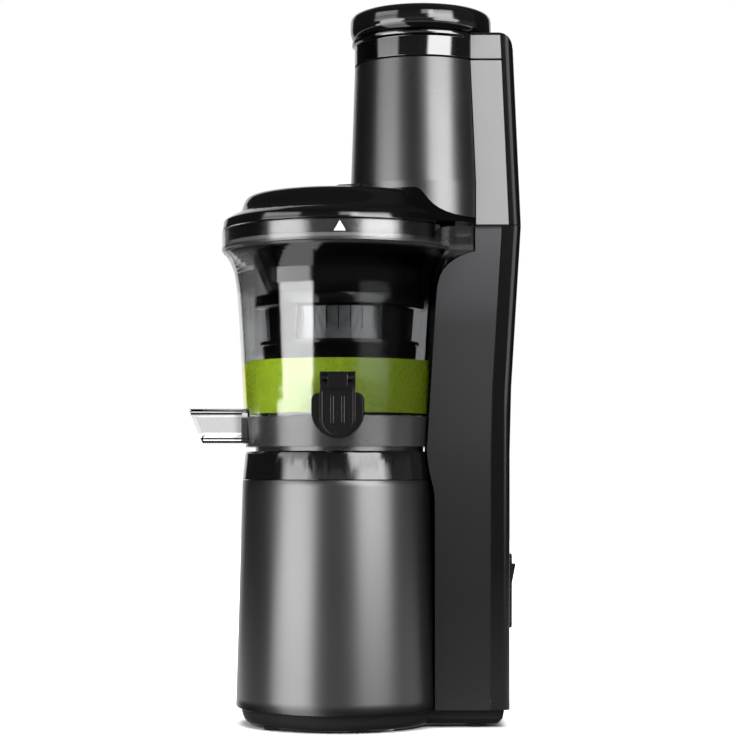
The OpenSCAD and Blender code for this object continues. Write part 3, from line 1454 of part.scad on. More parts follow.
base_shell();
base_top_ring();
base_plate();
feet();
column_housing();
column_spine();
switch_bezel();
cord_gland();
motor_can();
motor_stator();
motor_end_bell();
motor_bearings();
gearbox_case();
gearbox_mid_plate();
gearbox_cover();
idler_pins();
output_bearings();
shaft_seal();
motor_mounts();
control_board();
run_capacitor();
lid_sensor();
base_screws();
gearbox_screws();
rotor_core();
rotor_shaft();
cooling_fan();
idler_gear_1();
idler_gear_2();
drive_gear();
drive_shaft();
rocker();
bowl();
bowl_seal();
spout_gasket();
juice_nozzle();
nozzle_pin();
strainer_frame();
strainer_mesh();
strainer_base();
juice_cap();
cap_seal();
auger();
auger_pin();
lid();
lid_gasket();
chute_tube();
chute_collar();
chute_spine();
spine_panels();
spine_top_panels();
lid_magnet();
tamper_body();
tamper_cap();
tamper_ring();
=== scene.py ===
"""Cold press juicer: finishes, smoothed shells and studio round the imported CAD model.
Metres, Z up."""

import json
import math

import bmesh
import bpy
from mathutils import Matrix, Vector

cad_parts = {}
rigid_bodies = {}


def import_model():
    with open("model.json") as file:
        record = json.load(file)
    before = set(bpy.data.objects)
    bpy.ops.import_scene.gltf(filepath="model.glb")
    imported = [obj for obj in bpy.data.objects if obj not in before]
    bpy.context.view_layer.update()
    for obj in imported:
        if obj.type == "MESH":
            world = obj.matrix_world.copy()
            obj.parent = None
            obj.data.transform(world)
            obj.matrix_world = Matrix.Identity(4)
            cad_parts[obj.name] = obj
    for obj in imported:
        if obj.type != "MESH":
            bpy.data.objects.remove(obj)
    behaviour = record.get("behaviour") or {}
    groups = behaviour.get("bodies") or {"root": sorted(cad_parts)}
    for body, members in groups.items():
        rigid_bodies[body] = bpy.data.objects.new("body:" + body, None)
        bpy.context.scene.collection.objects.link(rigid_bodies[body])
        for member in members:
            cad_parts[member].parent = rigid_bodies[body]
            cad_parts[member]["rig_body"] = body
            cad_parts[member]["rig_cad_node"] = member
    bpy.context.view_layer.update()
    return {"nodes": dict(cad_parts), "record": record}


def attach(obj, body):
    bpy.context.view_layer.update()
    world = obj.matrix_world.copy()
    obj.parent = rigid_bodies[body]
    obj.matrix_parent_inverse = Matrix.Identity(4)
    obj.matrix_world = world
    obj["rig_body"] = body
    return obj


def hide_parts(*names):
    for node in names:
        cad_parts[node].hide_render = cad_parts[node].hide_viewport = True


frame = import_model()
nodes = frame["nodes"]
record = frame["record"]
body_of_node = {n: b for b, ns in record["behaviour"]["bodies"].items() for n in ns}
slot_of_node = {part["node"]: part["material_slot"] for part in record["subparts"]}

mm = 0.001
RIM_R = 73.1 * mm  # outside of the bowl's rim band
TUBE_X = 50.7 * mm  # the feed tube's axis


# ------------------------------------------------------------------ working in edit mode

LATHE_STEPS = 192  # points in each ring of a turned piece
LATHE_WELD = 1e-6  # its points closer than this are one
COPY_WELD = 2e-6  # the same for the copy of a node
COPY_FLAT = 1.0  # degrees between faces of a copy that are joined
COPY_SHARP = 35  # degrees from which an edge of a copy is broken


def deselect():
    if bpy.context.mode != "OBJECT":
        bpy.ops.object.mode_set(mode="OBJECT")
    bpy.ops.object.select_all(action="DESELECT")


def pick(piece):
    deselect()
    piece.select_set(True)
    bpy.context.view_layer.objects.active = piece


def start_editing():
    """Goes into edit mode with every point selected."""
    bpy.ops.object.mode_set(mode="EDIT")
    bpy.ops.mesh.select_mode(type="VERT")
    bpy.ops.mesh.select_all(action="SELECT")


def stop_editing():
    bpy.ops.object.mode_set(mode="OBJECT")


def select_faces(piece, test):
    """Selects the faces whose middle and normal pass the test. Called in edit mode."""
    bpy.ops.mesh.select_mode(type="FACE")
    bpy.ops.mesh.select_all(action="DESELECT")
    shape = bmesh.from_edit_mesh(piece.data)
    for face in shape.faces:
        if test(face.calc_center_median(), face.normal):
            face.select_set(True)
    shape.select_flush_mode()
    bmesh.update_edit_mesh(piece.data)


def new_piece(name):
    """Names the object that an operator has just made."""
    piece = bpy.context.object
    piece.name = piece.data.name = name
    return piece


def apply_place(piece):
    pick(piece)
    bpy.ops.object.transform_apply(location=True, rotation=True, scale=True)


def use_modifier(piece, kind, **settings):
    """Adds a modifier with these settings and applies it."""
    pick(piece)
    bpy.ops.object.modifier_add(type=kind)
    modifier = piece.modifiers[-1]
    for key, value in settings.items():
        setattr(modifier, key, value)
    bpy.ops.object.modifier_apply(modifier=modifier.name)


def soften(piece, width, angle=50, segments=2):
    """Breaks the edges sharper than the angle by a small radius."""
    use_modifier(
        piece, "BEVEL", width=width, segments=segments, limit_method="ANGLE",
        angle_limit=math.radians(angle), harden_normals=False, use_clamp_overlap=True,
    )


def smooth(piece, angle=COPY_SHARP):
    pick(piece)
    bpy.ops.object.shade_smooth_by_angle(angle=math.radians(angle))


def even_normals(piece):
    use_modifier(piece, "WEIGHTED_NORMAL", weight=50, keep_sharp=True)


def turned(name, outline, x=0.0):
    """Turns an outline of (radius, height) in millimetres about the upright axis at x, ring by
    ring. It comes back to its first ring, as the wall of a shell does."""
    deselect()
    r, z = outline[0]
    bpy.ops.mesh.primitive_circle_add(
        vertices=LATHE_STEPS, radius=r * mm, fill_type="NOTHING", location=(x, 0, z * mm)
    )
    piece = new_piece(name)
    apply_place(piece)
    start_editing()
    for r1, z1 in outline[1:] + outline[:1]:
        bpy.ops.mesh.extrude_region_move(TRANSFORM_OT_translate={"value": (0, 0, (z1 - z) * mm)})
        bpy.ops.transform.resize(value=(r1 / r, r1 / r, 1), center_override=(x, 0, z1 * mm))
        r, z = r1, z1
    bpy.ops.mesh.select_all(action="SELECT")
    bpy.ops.mesh.remove_doubles(threshold=LATHE_WELD)
    bpy.ops.mesh.normals_make_consistent(inside=False)
    stop_editing()
    return piece


def from_node(node, name, edge):
    """A smooth copy of a CAD node: doubles merged, flat faces joined, edges broken by edge
    millimetres, shading smoothed."""
    pick(nodes[node])
    bpy.ops.object.duplicate(linked=False)
    piece = new_piece(name)
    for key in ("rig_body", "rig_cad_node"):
        if key in piece:
            del piece[key]
    piece.parent = None
    pick(piece)
    start_editing()
    bpy.ops.mesh.customdata_custom_splitnormals_clear()
    bpy.ops.mesh.remove_doubles(threshold=COPY_WELD)
    bpy.ops.mesh.dissolve_limited(angle_limit=math.radians(COPY_FLAT))
    stop_editing()
    soften(piece, edge * mm, angle=COPY_SHARP)
    smooth(piece)
    even_normals(piece)
    return piece


def block(name, size, place, turn):
    """A plain box of this size and place in millimetres, turned about the upright axis."""
    deselect()
    bpy.ops.mesh.primitive_cube_add(size=1, location=(0, 0, 0))
    piece = new_piece(name)
    start_editing()
    bpy.ops.transform.resize(value=tuple(v * mm for v in size), center_override=(0, 0, 0))
    bpy.ops.transform.translate(value=tuple(v * mm for v in place))
    bpy.ops.transform.rotate(value=-turn, orient_axis="Z", center_override=(0, 0, 0))
    stop_editing()
    return piece


def cut(piece, tool):
    """Takes the tool's shape out of the piece, and the tool away."""
    use_modifier(piece, "BOOLEAN", operation="DIFFERENCE", solver="EXACT", object=tool)
    deselect()
    bpy.data.objects.remove(tool, do_unlink=True)


def set_down(piece, body, finish, slot, *replaced):
    """Gives a finished piece its material and its body, and hides the nodes it stands for. The slot
    is not used.
    """
    piece.data.materials.clear()
    piece.data.materials.append(finish)
    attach(piece, body)
    if replaced:
        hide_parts(*replaced)


# ------------------------------------------------------------------ nodes of a finish

NOISE_SPAN = (0.3, 0.7)  # nearly all of a noise lies between these


def feed(tree, socket, value):
    """Wires a value to a socket, or sets the socket itself where the value is a constant."""
    if isinstance(value, bpy.types.NodeSocket):
        tree.links.new(value, socket)
    else:
        socket.default_value = value


def add_node(tree, kind, inputs, **settings):
    node = tree.nodes.new(kind)
    for key, value in settings.items():
        setattr(node, key, value)
    for key, value in inputs.items():
        feed(tree, node.inputs[key], value)
    return node


def new_finish(name):
    finish = bpy.data.materials.new(name)
    finish.use_nodes = True
    tree = finish.node_tree
    return finish, tree, tree.nodes["Principled BSDF"]


def set_surface(tree, surface):
    feed(tree, tree.nodes["Material Output"].inputs["Surface"], surface)


def own_place(tree):
    return tree.nodes.new("ShaderNodeTexCoord").outputs["Object"]


def axes(tree):
    """The X, Y and Z of the object's own coordinates."""
    return add_node(tree, "ShaderNodeSeparateXYZ", {"Vector": own_place(tree)}).outputs


def noise(tree, scale, detail=2.0, stretch=(1, 1, 1)):
    place = add_node(tree, "ShaderNodeMapping", {"Vector": own_place(tree), "Scale": stretch})
    inputs = {"Vector": place.outputs["Vector"], "Scale": scale, "Detail": detail, "Roughness": 0.5}
    return add_node(tree, "ShaderNodeTexNoise", inputs).outputs["Fac"]


def between(tree, value, low, high, span=NOISE_SPAN):
    """From low to high while the value crosses the span."""
    inputs = {
        "Value": value, "From Min": span[0], "From Max": span[1], "To Min": low, "To Max": high,
    }
    return add_node(tree, "ShaderNodeMapRange", inputs).outputs["Result"]


def past(tree, value, span):
    """Zero before the span, one after it, straight between."""
    return between(tree, value, 0.0, 1.0, span)


def before(tree, value, span):
    """One before the span, zero after it, straight between."""
    return between(tree, value, 1.0, 0.0, span)


def step_up(tree, value, low, high):
    """Zero below low, one above high, smooth between."""
    inputs = {"Value": value, "From Min": low, "From Max": high}
    step = add_node(tree, "ShaderNodeMapRange", inputs, interpolation_type="SMOOTHSTEP")
    return step.outputs["Result"]


def combine(tree, kind, first, second=0.0):
    return add_node(tree, "ShaderNodeMath", {0: first, 1: second}, operation=kind).outputs[0]


def product(tree, first, *others):
    for other in others:
        first = combine(tree, "MULTIPLY", first, other)
    return first


def largest(tree, first, *others):
    for other in others:
        first = combine(tree, "MAXIMUM", first, other)
    return first


def opposite(tree, value):
    return combine(tree, "SUBTRACT", 1.0, value)


def window(tree, value, low, high, soft):
    """One between low and high, falling to zero over the soft width outside them."""
    rise = step_up(tree, value, low - soft, low)
    fall = step_up(tree, value, high, high + soft)
    return combine(tree, "SUBTRACT", rise, fall)


def profile(tree, place, steps):
    """A level that follows the (place, level) steps, straight between them."""
    low, high = steps[0][0], steps[-1][0]
    most = max(level for _, level in steps)
    ramp = add_node(tree, "ShaderNodeValToRGB", {"Fac": past(tree, place, (low, high))})
    stops = ramp.color_ramp.elements
    stops[0].position, stops[1].position = 0.0, 1.0
    for at, _ in steps[1:-1]:
        stops.new((at - low) / (high - low))
    for stop, (_, level) in zip(stops, steps):
        stop.color = (level / most, level / most, level / most, 1)
    return product(tree, ramp.outputs["Color"], most)


def mixed(tree, factor, first, second):
    """A colour between two, each a socket or three levels."""
    ends = {"A": first, "B": second}
    inputs = {key: (*end, 1) if isinstance(end, tuple) else end for key, end in ends.items()}
    inputs["Factor"] = factor
    return add_node(tree, "ShaderNodeMix", inputs, data_type="RGBA").outputs["Result"]


def mixed_shader(tree, factor, first, second):
    mix = add_node(tree, "ShaderNodeMixShader", {"Fac": factor, 1: first, 2: second})
    return mix.outputs["Shader"]


def tint(tree, factor, low, high):
    """A colour between two that follows a noise."""
    ramp = add_node(tree, "ShaderNodeValToRGB", {"Fac": factor})
    for stop, place, colour in zip(ramp.color_ramp.elements, NOISE_SPAN, (low, high)):
        stop.position = place
        stop.color = (*colour, 1)
    return ramp.outputs["Color"]


def varied(tree, factor, colour, spread):
    """The colour, darker and lighter by the spread."""
    low, high = (tuple(c * k for c in colour) for k in (1 - spread, 1 + spread))
    return tint(tree, factor, low, high)


def bump(tree, shader, height, strength, distance):
    inputs = {"Height": height, "Strength": strength, "Distance": distance}
    feed(tree, shader.inputs["Normal"], add_node(tree, "ShaderNodeBump", inputs).outputs["Normal"])


# ------------------------------------------------------------------ finishes

# cells of the noises in a metre
FLAKE_CELLS = 9000
GRAIN_CELLS = 2600
UNEVEN_CELLS = 420
WAVE_CELLS = 60
GLASS_WAVE_CELLS = 45
GLASS_FLOW_CELLS = 30
CLOUD_CELLS = 22
PAINT_CLOUD_CELLS = 14
HOLE_CELLS = 900
TOOL_LINE_CELLS = 90

# heights of the relief, in metres
FLAKE_RELIEF = 0.00002
LINE_RELIEF = 0.00003
MOULDED_RELIEF = 0.00005
SHEET_RELIEF = 0.0001

PAINT_METALLIC = 0.95
PAINT_SHINE = 0.5
PAINT_EDGE = 0.0004  # metres, half the width in which the paint ends at the foot
PAINT_TOP_EDGE = 0.0001  # and at the top
BARE_BLACK = (0.003, 0.003, 0.003)  # the plastic of a painted piece where it has no paint
LEAST_ROUGH = 0.02
DULL_SHINE = 0.03  # of moulded plastic where it doesn't shine
GLASS_ROUGH = 0.015
GLASS_IOR = 1.45


def painted_metal(name, colour, rough, foot=None, top=None):
    """Metallic paint: fine flakes that vary the tone, under an even roughness.
    Up to foot, a height that follows X, and above top the piece is left in black plastic."""
    finish, tree, shader = new_finish(name)
    flakes = noise(tree, FLAKE_CELLS, 1.0)
    cloud = noise(tree, PAINT_CLOUD_CELLS, 3.0)
    tone = varied(tree, flakes, colour, 0.14)
    feed(tree, shader.inputs["Roughness"], between(tree, cloud, rough - 0.02, rough + 0.02))
    feed(tree, shader.inputs["Metallic"], PAINT_METALLIC)
    if foot:
        x, _, z = axes(tree)
        over = combine(tree, "SUBTRACT", z, profile(tree, x, foot))
        above = step_up(tree, z, top - PAINT_TOP_EDGE, top + PAINT_TOP_EDGE)
        painted = product(tree, step_up(tree, over, -PAINT_EDGE, PAINT_EDGE), opposite(tree, above))
        tone = mixed(tree, painted, BARE_BLACK, tone)
        feed(tree, shader.inputs["Metallic"], product(tree, painted, PAINT_METALLIC))
        feed(tree, shader.inputs["Specular IOR Level"], product(tree, painted, PAINT_SHINE))
    feed(tree, shader.inputs["Base Color"], tone)
    bump(tree, shader, flakes, 0.04, FLAKE_RELIEF)
    return finish


def moulded(name, colour, rough, grain=0.0, shine=0.5, metallic=0.0, painted_light=None, dull=None):
    """Moulded plastic: tone and gloss vary a little, with spark-eroded grain where it's matt.
    painted_light is (axis, steps): painted light and shade, a tone that changes along one axis.
    dull is (bottom, x, z): the piece doesn't shine below bottom, nor where it's past both x and z."""
    finish, tree, shader = new_finish(name)
    tone = varied(tree, noise(tree, CLOUD_CELLS, 3.0), colour, 0.03)
    # painted light and shade: the tone is scaled along one axis
    if painted_light:
        axis, steps = painted_light
        level = profile(tree, axes(tree)[axis], steps)
        inputs = {0: tone, "Scale": level}
        scaled = add_node(tree, "ShaderNodeVectorMath", inputs, operation="SCALE")
        tone = scaled.outputs["Vector"]
    feed(tree, shader.inputs["Base Color"], tone)
    uneven = noise(tree, UNEVEN_CELLS)
    least = max(rough - 0.03, LEAST_ROUGH)
    feed(tree, shader.inputs["Roughness"], between(tree, uneven, least, rough + 0.03))
    feed(tree, shader.inputs["Metallic"], metallic)
    feed(tree, shader.inputs["Specular IOR Level"], shine)
    if dull:
        bottom, side_x, side_z = dull
        x, _, z = axes(tree)
        gloss = between(tree, z, DULL_SHINE, shine, (bottom - 0.002, bottom))
        beside = product(
            tree, step_up(tree, x, side_x - 0.008, side_x + 0.008),
            step_up(tree, z, side_z - 0.001, side_z + 0.001),
        )
        gloss = product(tree, gloss, opposite(tree, beside))
        feed(tree, shader.inputs["Specular IOR Level"], gloss)
    if grain:
        bump(tree, shader, noise(tree, GRAIN_CELLS), grain, MOULDED_RELIEF)
    else:
        bump(tree, shader, noise(tree, WAVE_CELLS, 1.0), 0.02, MOULDED_RELIEF)
    return finish


def machined(name, colour, rough, stretch=(1, 1, 60)):
    """Turned or drawn metal with fine lines."""
    finish, tree, shader = new_finish(name)
    lines = noise(tree, TOOL_LINE_CELLS, 2.0, stretch)
    low = tuple(c * 0.9 for c in colour)
    feed(tree, shader.inputs["Base Color"], tint(tree, lines, low, colour))
    feed(tree, shader.inputs["Roughness"], between(tree, lines, rough - 0.05, rough + 0.06))
    feed(tree, shader.inputs["Metallic"], 1.0)
    bump(tree, shader, lines, 0.08, LINE_RELIEF)
    return finish


def perforated_steel(name):
    """Sheet steel with rows of very small holes, dark where they are."""
    finish, tree, shader = new_finish(name)
    inputs = {"Vector": own_place(tree), "Scale": HOLE_CELLS, "Randomness": 0.15}
    cells = add_node(tree, "ShaderNodeTexVoronoi", inputs)
    sheet = past(tree, cells.outputs["Distance"], (0.22, 0.34))
    tone = tint(tree, sheet, (0.06, 0.06, 0.06), (0.34, 0.34, 0.343))
    feed(tree, shader.inputs["Base Color"], tone)
    feed(tree, shader.inputs["Metallic"], 1.0)
    feed(tree, shader.inputs["Roughness"], between(tree, noise(tree, 120), 0.36, 0.46))
    bump(tree, shader, sheet, 0.25, SHEET_RELIEF)
    return finish


def painted_shade_wall(tree):
    """Painted shade: an opaque dark grey wall that stands in for the clear wall with the shaded
    inside seen through it.
    """
    tone = tint(tree, noise(tree, GLASS_FLOW_CELLS), (0.045, 0.045, 0.046), (0.055, 0.055, 0.056))
    rough = between(tree, noise(tree, 200), 0.22, 0.26)
    inputs = {"Base Color": tone, "Roughness": rough, "Metallic": 0.5}
    return add_node(tree, "ShaderNodeBsdfPrincipled", inputs).outputs["BSDF"]


def clear_plastic(name, colour, spout_colour, tab_shade_colour):
    """Clear smoked plastic that lamps reach through: thin and pale at the spout, with painted shade
    that tints it near black at the tab by the column and dark grey at the lip under the rim. The
    places where it changes are in metres."""
    finish, tree, shader = new_finish(name)
    x, _, z = axes(tree)
    spout = before(tree, x, (-0.066, -0.062))
    # painted shade: near black tint on the tab by the column
    tab_shade = product(tree, past(tree, x, (0.036, 0.046)), past(tree, z, (0.258, 0.266)))
    lime_ring = window(tree, z, 0.1965, 0.2225, 0.0008)
    lime_edge = product(tree, window(tree, x, -0.0622, -0.0550, 0.0008), lime_ring)
    flank = before(tree, x, (-0.052, -0.048))
    flare = past(tree, z, (0.246, 0.256))
    # painted shade: dark grey tint on the lip under the rim
    lip_shade = window(tree, z, 0.2900, 0.2945, 0.0020)
    tone = colour
    for amount, other in (
        (spout, spout_colour), (tab_shade, tab_shade_colour), (lime_edge, (0.78, 0.82, 0.16)),
        (product(tree, flank, flare), (0.52, 0.52, 0.525)), (lip_shade, (0.2, 0.2, 0.2)),
    ):
        tone = mixed(tree, amount, tone, other)
    feed(tree, shader.inputs["Base Color"], tone)
    feed(tree, shader.inputs["Transmission Weight"], 1.0)
    feed(tree, shader.inputs["IOR"], GLASS_IOR)
    flow = between(tree, noise(tree, GLASS_FLOW_CELLS), GLASS_ROUGH, GLASS_ROUGH + 0.012)
    rim = past(tree, z, (0.288, 0.291))
    feed(tree, shader.inputs["Roughness"], combine(tree, "ADD", flow, product(tree, rim, 0.10)))
    bump(tree, shader, noise(tree, GLASS_WAVE_CELLS, 1.0), 0.015, SHEET_RELIEF)

    # the wall is coated against glare, apart from a strip on the left
    inputs = {"Color": tone, "IOR": GLASS_IOR, "Roughness": GLASS_ROUGH}
    bare = add_node(tree, "ShaderNodeBsdfRefraction", inputs).outputs["BSDF"]
    left = product(tree, window(tree, x, -0.0500, -0.0372, 0.0012), step_up(tree, z, 0.225, 0.229))
    sides = combine(tree, "ADD", window(tree, x, -0.0140, 0.075, 0.0018), left)
    coating = product(tree, sides, window(tree, z, 0.192, 0.286, 0.004), 0.93)
    coated = mixed_shader(tree, coating, shader.outputs["BSDF"], bare)

    # painted shade: the foot, the bead under the rim and the flank's shoulder get an opaque dark
    # grey wall in place of the clear one
    body = past(tree, x, (-0.0605, -0.0595))
    foot = product(tree, window(tree, z, 0.1640, 0.1895, 0.0012), body, 0.9)
    bead = product(tree, window(tree, z, 0.2922, 0.2948, 0.0006), 0.8)
    shoulder = product(tree, flank, window(tree, z, 0.2700, 0.2900, 0.0040), 0.22)
    seen = mixed_shader(tree, largest(tree, foot, bead, shoulder), coated, painted_shade_wall(tree))

    # lamps reach through it
    inputs = {"Color": (*(c ** 0.5 for c in colour), 1)}
    through = add_node(tree, "ShaderNodeBsdfTransparent", inputs).outputs["BSDF"]
    shadow = tree.nodes.new("ShaderNodeLightPath").outputs["Is Shadow Ray"]
    set_surface(tree, mixed_shader(tree, shadow, seen, through))
    return finish


charcoal = painted_metal("charcoal_metallic_paint", (0.068, 0.068, 0.069), 0.30)
tube_paint = painted_metal("tube_metallic_paint", (0.062, 0.062, 0.063), 0.26, top=0.4076, foot=[
    (0.035, 0.3275), (0.0465, 0.3273), (0.0531, 0.3190), (0.060, 0.3147), (0.0685, 0.3119),
    (0.0826, 0.3093), (0.095, 0.3080),
])
# painted light and shade: the shell is darkest a little above the foot, lighter at the bottom and
# much lighter towards the top; its top edge at the seam under the upper spine is dark
graphite = moulded(
    "graphite_shell_plastic", (0.022, 0.022, 0.023), 0.48, grain=0.12, shine=0.08, painted_light=("Z", [
        (0.0137, 1.0), (0.0235, 0.84), (0.045, 0.70), (0.078, 0.57), (0.103, 0.60), (0.127, 0.67),
        (0.150, 0.80), (0.180, 1.10), (0.246, 1.35), (0.261, 2.05), (0.301, 3.05), (0.3052, 3.05),
        (0.3055, 0.20), (0.310, 0.20),
    ]),
)
# painted light: the rear cover is painted lighter towards the bottom
rear_black = moulded(
    "rear_cover_plastic", (0.004, 0.004, 0.0043), 0.17, grain=0.04, shine=0.1,
    painted_light=("Z", [(0.012, 3.4), (0.045, 2.4), (0.10, 1.3), (0.30, 1.0), (0.42, 1.0)]),
)
satin_black = moulded("satin_black_plastic", (0.008, 0.008, 0.009), 0.38, grain=0.08, shine=0.12)
skirt_black = moulded("skirt_black_plastic", (0.020, 0.020, 0.021), 0.5, grain=0.15, shine=0.06)
gloss_black = moulded("gloss_black_plastic", (0.0035, 0.0035, 0.0038), 0.09)
# painted light: the lid is painted four times lighter below the rim, inside the bowl
lid_black = moulded(
    "lid_gloss_plastic", (0.0027, 0.0027, 0.003), 0.09, dull=(0.296, 0.037, 0.3075),
    painted_light=("Z", [(0.26, 4.0), (0.29, 4.0), (0.30, 1.0), (0.34, 1.0)]),
)
dark_chrome = moulded("dark_chrome_collar", (0.07, 0.07, 0.071), 0.08, metallic=1.0)
silver = moulded("silver_side_panel", (0.255, 0.255, 0.255), 0.42, grain=0.05, shine=0.2)
# painted shade: the lime ring is painted darker towards the right and lighter on the left
lime = moulded(
    "lime_plastic", (0.29, 0.42, 0.013), 0.28,
    painted_light=("X", [(-0.06, 1.75), (-0.02, 1.75), (0.015, 1.0), (0.035, 0.78), (0.058, 0.62)]),
)
# the last colour is the painted shade on the tab by the column
clear_bowl = clear_plastic(
    "clear_bowl_plastic", (0.62, 0.625, 0.63), (0.86, 0.86, 0.86), (0.08, 0.08, 0.08)
)
steel = machined("turned_steel", (0.62, 0.62, 0.63), 0.24)
cast = moulded("cast_alloy", (0.42, 0.43, 0.45), 0.45, grain=0.3, metallic=0.9)
bronze = machined("sintered_bronze", (0.55, 0.36, 0.15), 0.38)
copper = machined("wound_copper", (0.6, 0.28, 0.12), 0.33, stretch=(40, 40, 1))
acetal = moulded("acetal_gear_plastic", (0.72, 0.68, 0.56), 0.4, grain=0.05)
rubber = moulded("black_rubber", (0.010, 0.010, 0.010), 0.7, grain=0.3, shine=0.1)
silicone = moulded("grey_silicone", (0.33, 0.33, 0.32), 0.55, grain=0.1)
board = moulded("lacquered_board", (0.015, 0.10, 0.04), 0.3)
mesh_steel = perforated_steel("perforated_steel")
white_mark = moulded("white_print", (0.85, 0.85, 0.85), 0.4)

finish_of_slot = {
    "charcoal_metallic": charcoal, "grey_shell": graphite, "black_gloss": gloss_black,
    "black_satin": satin_black, "silver_panel": silver, "clear_smoke": clear_bowl, "lime": lime,
    "steel": steel, "cast": cast, "bronze": bronze, "copper_winding": copper,
    "gear_plastic": acetal, "rubber_black": rubber, "silicone_grey": silicone, "board_green": board,
}
finish_of_node = {node: finish_of_slot[slot_of_node[node]] for node in nodes}
finish_of_node.update({
    "strainer_mesh": mesh_steel, "chute_tube": tube_paint, "chute_collar": dark_chrome,
    "base_plate": skirt_black, "column_spine": rear_black, "chute_spine": rear_black,
    "lid": lid_black, "juice_nozzle": gloss_black, "juice_cap": gloss_black,
})
for node, thing in nodes.items():
    thing.data.materials.clear()
    thing.data.materials.append(finish_of_node[node])


# ------------------------------------------------------------------ base

jacket = turned("base_jacket", [
    (61.8, 11.0), (63.4, 11.0), (64.0, 11.25), (64.35, 11.9), (64.2, 18.0),
    (62.3, 81.0), (60.32, 147.5), (60.2, 150.9), (60.0, 151.4), (59.6, 151.6), (57.6, 151.6),
])
soften(jacket, 0.15 * mm)
smooth(jacket)
set_down(jacket, "base", charcoal, "charcoal_metallic", "base_shell")


# ------------------------------------------------------------------ smooth copies of CAD nodes

# node: (the copy's name, its edge radius in millimetres)
copies = {
    "base_top_ring": ("bowl_seat_ring", 0.35),
    "column_housing": ("column_shell", 0.5), "column_spine": ("column_rear_cover", 0.3),
    "switch_bezel": ("switch_frame", 0.5), "rocker": ("power_rocker", 0.4),
    "cord_gland": ("cord_bushing", 0.4),
    "juice_nozzle": ("nozzle_body", 0.5), "juice_cap": ("stopper_cap", 0.12),
    "strainer_base": ("lime_ring", 0.3),
    "lid": ("lid_dome", 0.4), "chute_collar": ("collar_band", 0.25),
    "chute_spine": ("upper_spine", 0.6),
    "spine_panels": ("side_panels", 0.3), "spine_top_panels": ("top_side_panels", 0.3),
    "tamper_body": ("tamper_plunger", 0.3),
    "drive_shaft": ("hex_drive_shaft", 0.15), "spout_gasket": ("spout_rim_gasket", 0.2),
}
for node, (name, edge) in copies.items():
    copy = from_node(node, name, edge)
    set_down(copy, body_of_node[node], finish_of_node[node], slot_of_node[node], node)


# ------------------------------------------------------------------ strainer cage

CAGE_WINDOW = (36, 50.6, 19.6)  # millimetres through the wall, across and up
CAGE_WINDOW_MIDDLE = (50, 0, 246.8)
PULP_HOLE_R = 5.6 * mm

cage = turned("strainer_cage", [
    (15.4, 190.5), (43.6, 190.5), (44.4, 195.0), (48.3, 234.0), (49.6, 234.4), (49.6, 236.6),
    (48.5, 237.0), (49.3, 256.6), (51.8, 257.2), (52.7, 258.2), (52.8, 259.4), (52.8, 263.4),
    (52.5, 264.6), (51.4, 265.2), (45.2, 265.2), (45.2, 261.4), (47.05, 261.4), (41.7, 193.1),
    (15.4, 193.1),
])
for quarter in range(4):
    name = f"window_block_{quarter}"
    cut(cage, block(name, CAGE_WINDOW, CAGE_WINDOW_MIDDLE, math.radians(90 * quarter)))
deselect()
bpy.ops.mesh.primitive_cylinder_add(
    vertices=64, radius=PULP_HOLE_R, depth=12 * mm, location=(-32 * mm, 0, 192 * mm)
)
cut(cage, bpy.context.object)
soften(cage, 0.6 * mm, segments=3)
smooth(cage)
even_normals(cage)
frame_body, frame_slot = body_of_node["strainer_frame"], slot_of_node["strainer_frame"]
set_down(cage, frame_body, gloss_black, frame_slot, "strainer_frame")


# ------------------------------------------------------------------ tamper cap

cap = turned("tamper_knob", [
    (0.05, 440.6), (20.0, 440.6), (36.0, 440.5), (40.0, 440.2), (42.2, 439.2), (43.4, 437.6),
    (43.8, 435.4), (43.8, 430.8), (43.65, 429.2), (43.2, 427.4), (42.5, 425.8), (41.6, 424.9),
    (41.2, 424.72), (30.9, 424.7), (30.8, 434.0), (0.05, 434.0),
], x=TUBE_X)
smooth(cap, 40)
set_down(cap, "tamper", gloss_black, "black_gloss", "tamper_cap")


# ------------------------------------------------------------------ alignment mark on the rim

MARK_MIDDLE = (1.2 * mm, -RIM_R - 0.05 * mm, 300.6 * mm)
MARK_LIFT = 0.06 * mm  # from the band to the middle of the print

deselect()
bpy.ops.mesh.primitive_circle_add(
    vertices=3, radius=4.1 * mm, fill_type="NGON", location=MARK_MIDDLE,
    rotation=(math.radians(90), 0, 0),
)
mark = new_piece("rim_arrow_mark")
apply_place(mark)
start_editing()
bpy.ops.mesh.subdivide(number_cuts=4)
stop_editing()
for v in mark.data.vertices:
    v.co.y = -math.sqrt((RIM_R + MARK_LIFT) ** 2 - v.co.x ** 2)
use_modifier(mark, "SOLIDIFY", thickness=0.1 * mm, offset=0)
set_down(mark, "bowl", white_mark, "silver_panel")


# ------------------------------------------------------------------ lamps


def lamp(name, place, aim, side, power):
    """A square soft lamp that lights matt surfaces only, as the room gives the reflections."""
    light = bpy.data.lights.new(name, "AREA")
    light.shape = "RECTANGLE"
    light.size = light.size_y = side
    light.energy = power
    holder = bpy.data.objects.new(name, light)
    bpy.context.scene.collection.objects.link(holder)
    holder.location = place
    holder.rotation_euler = (Vector(aim) - Vector(place)).to_track_quat("-Z", "Y").to_euler()
    holder.visible_glossy = holder.visible_transmission = holder.visible_camera = False


lamp("key_left", (-1.5, -1.3, 1.0), (0, 0, 0.2), 1.2, 26)
lamp("key_right", (0.5, -0.9, 0.9), (0.06, 0, 0.36), 0.4, 9)
lamp("overhead", (0, -0.1, 2.0), (0, 0, 0), 2.0, 95)


# ------------------------------------------------------------------ the room that glossy pieces see

ROOM_LEVEL = 0.03  # the walls' own light
ROOM_OPEN = 150  # degrees from the camera's side; the wall is left out past them

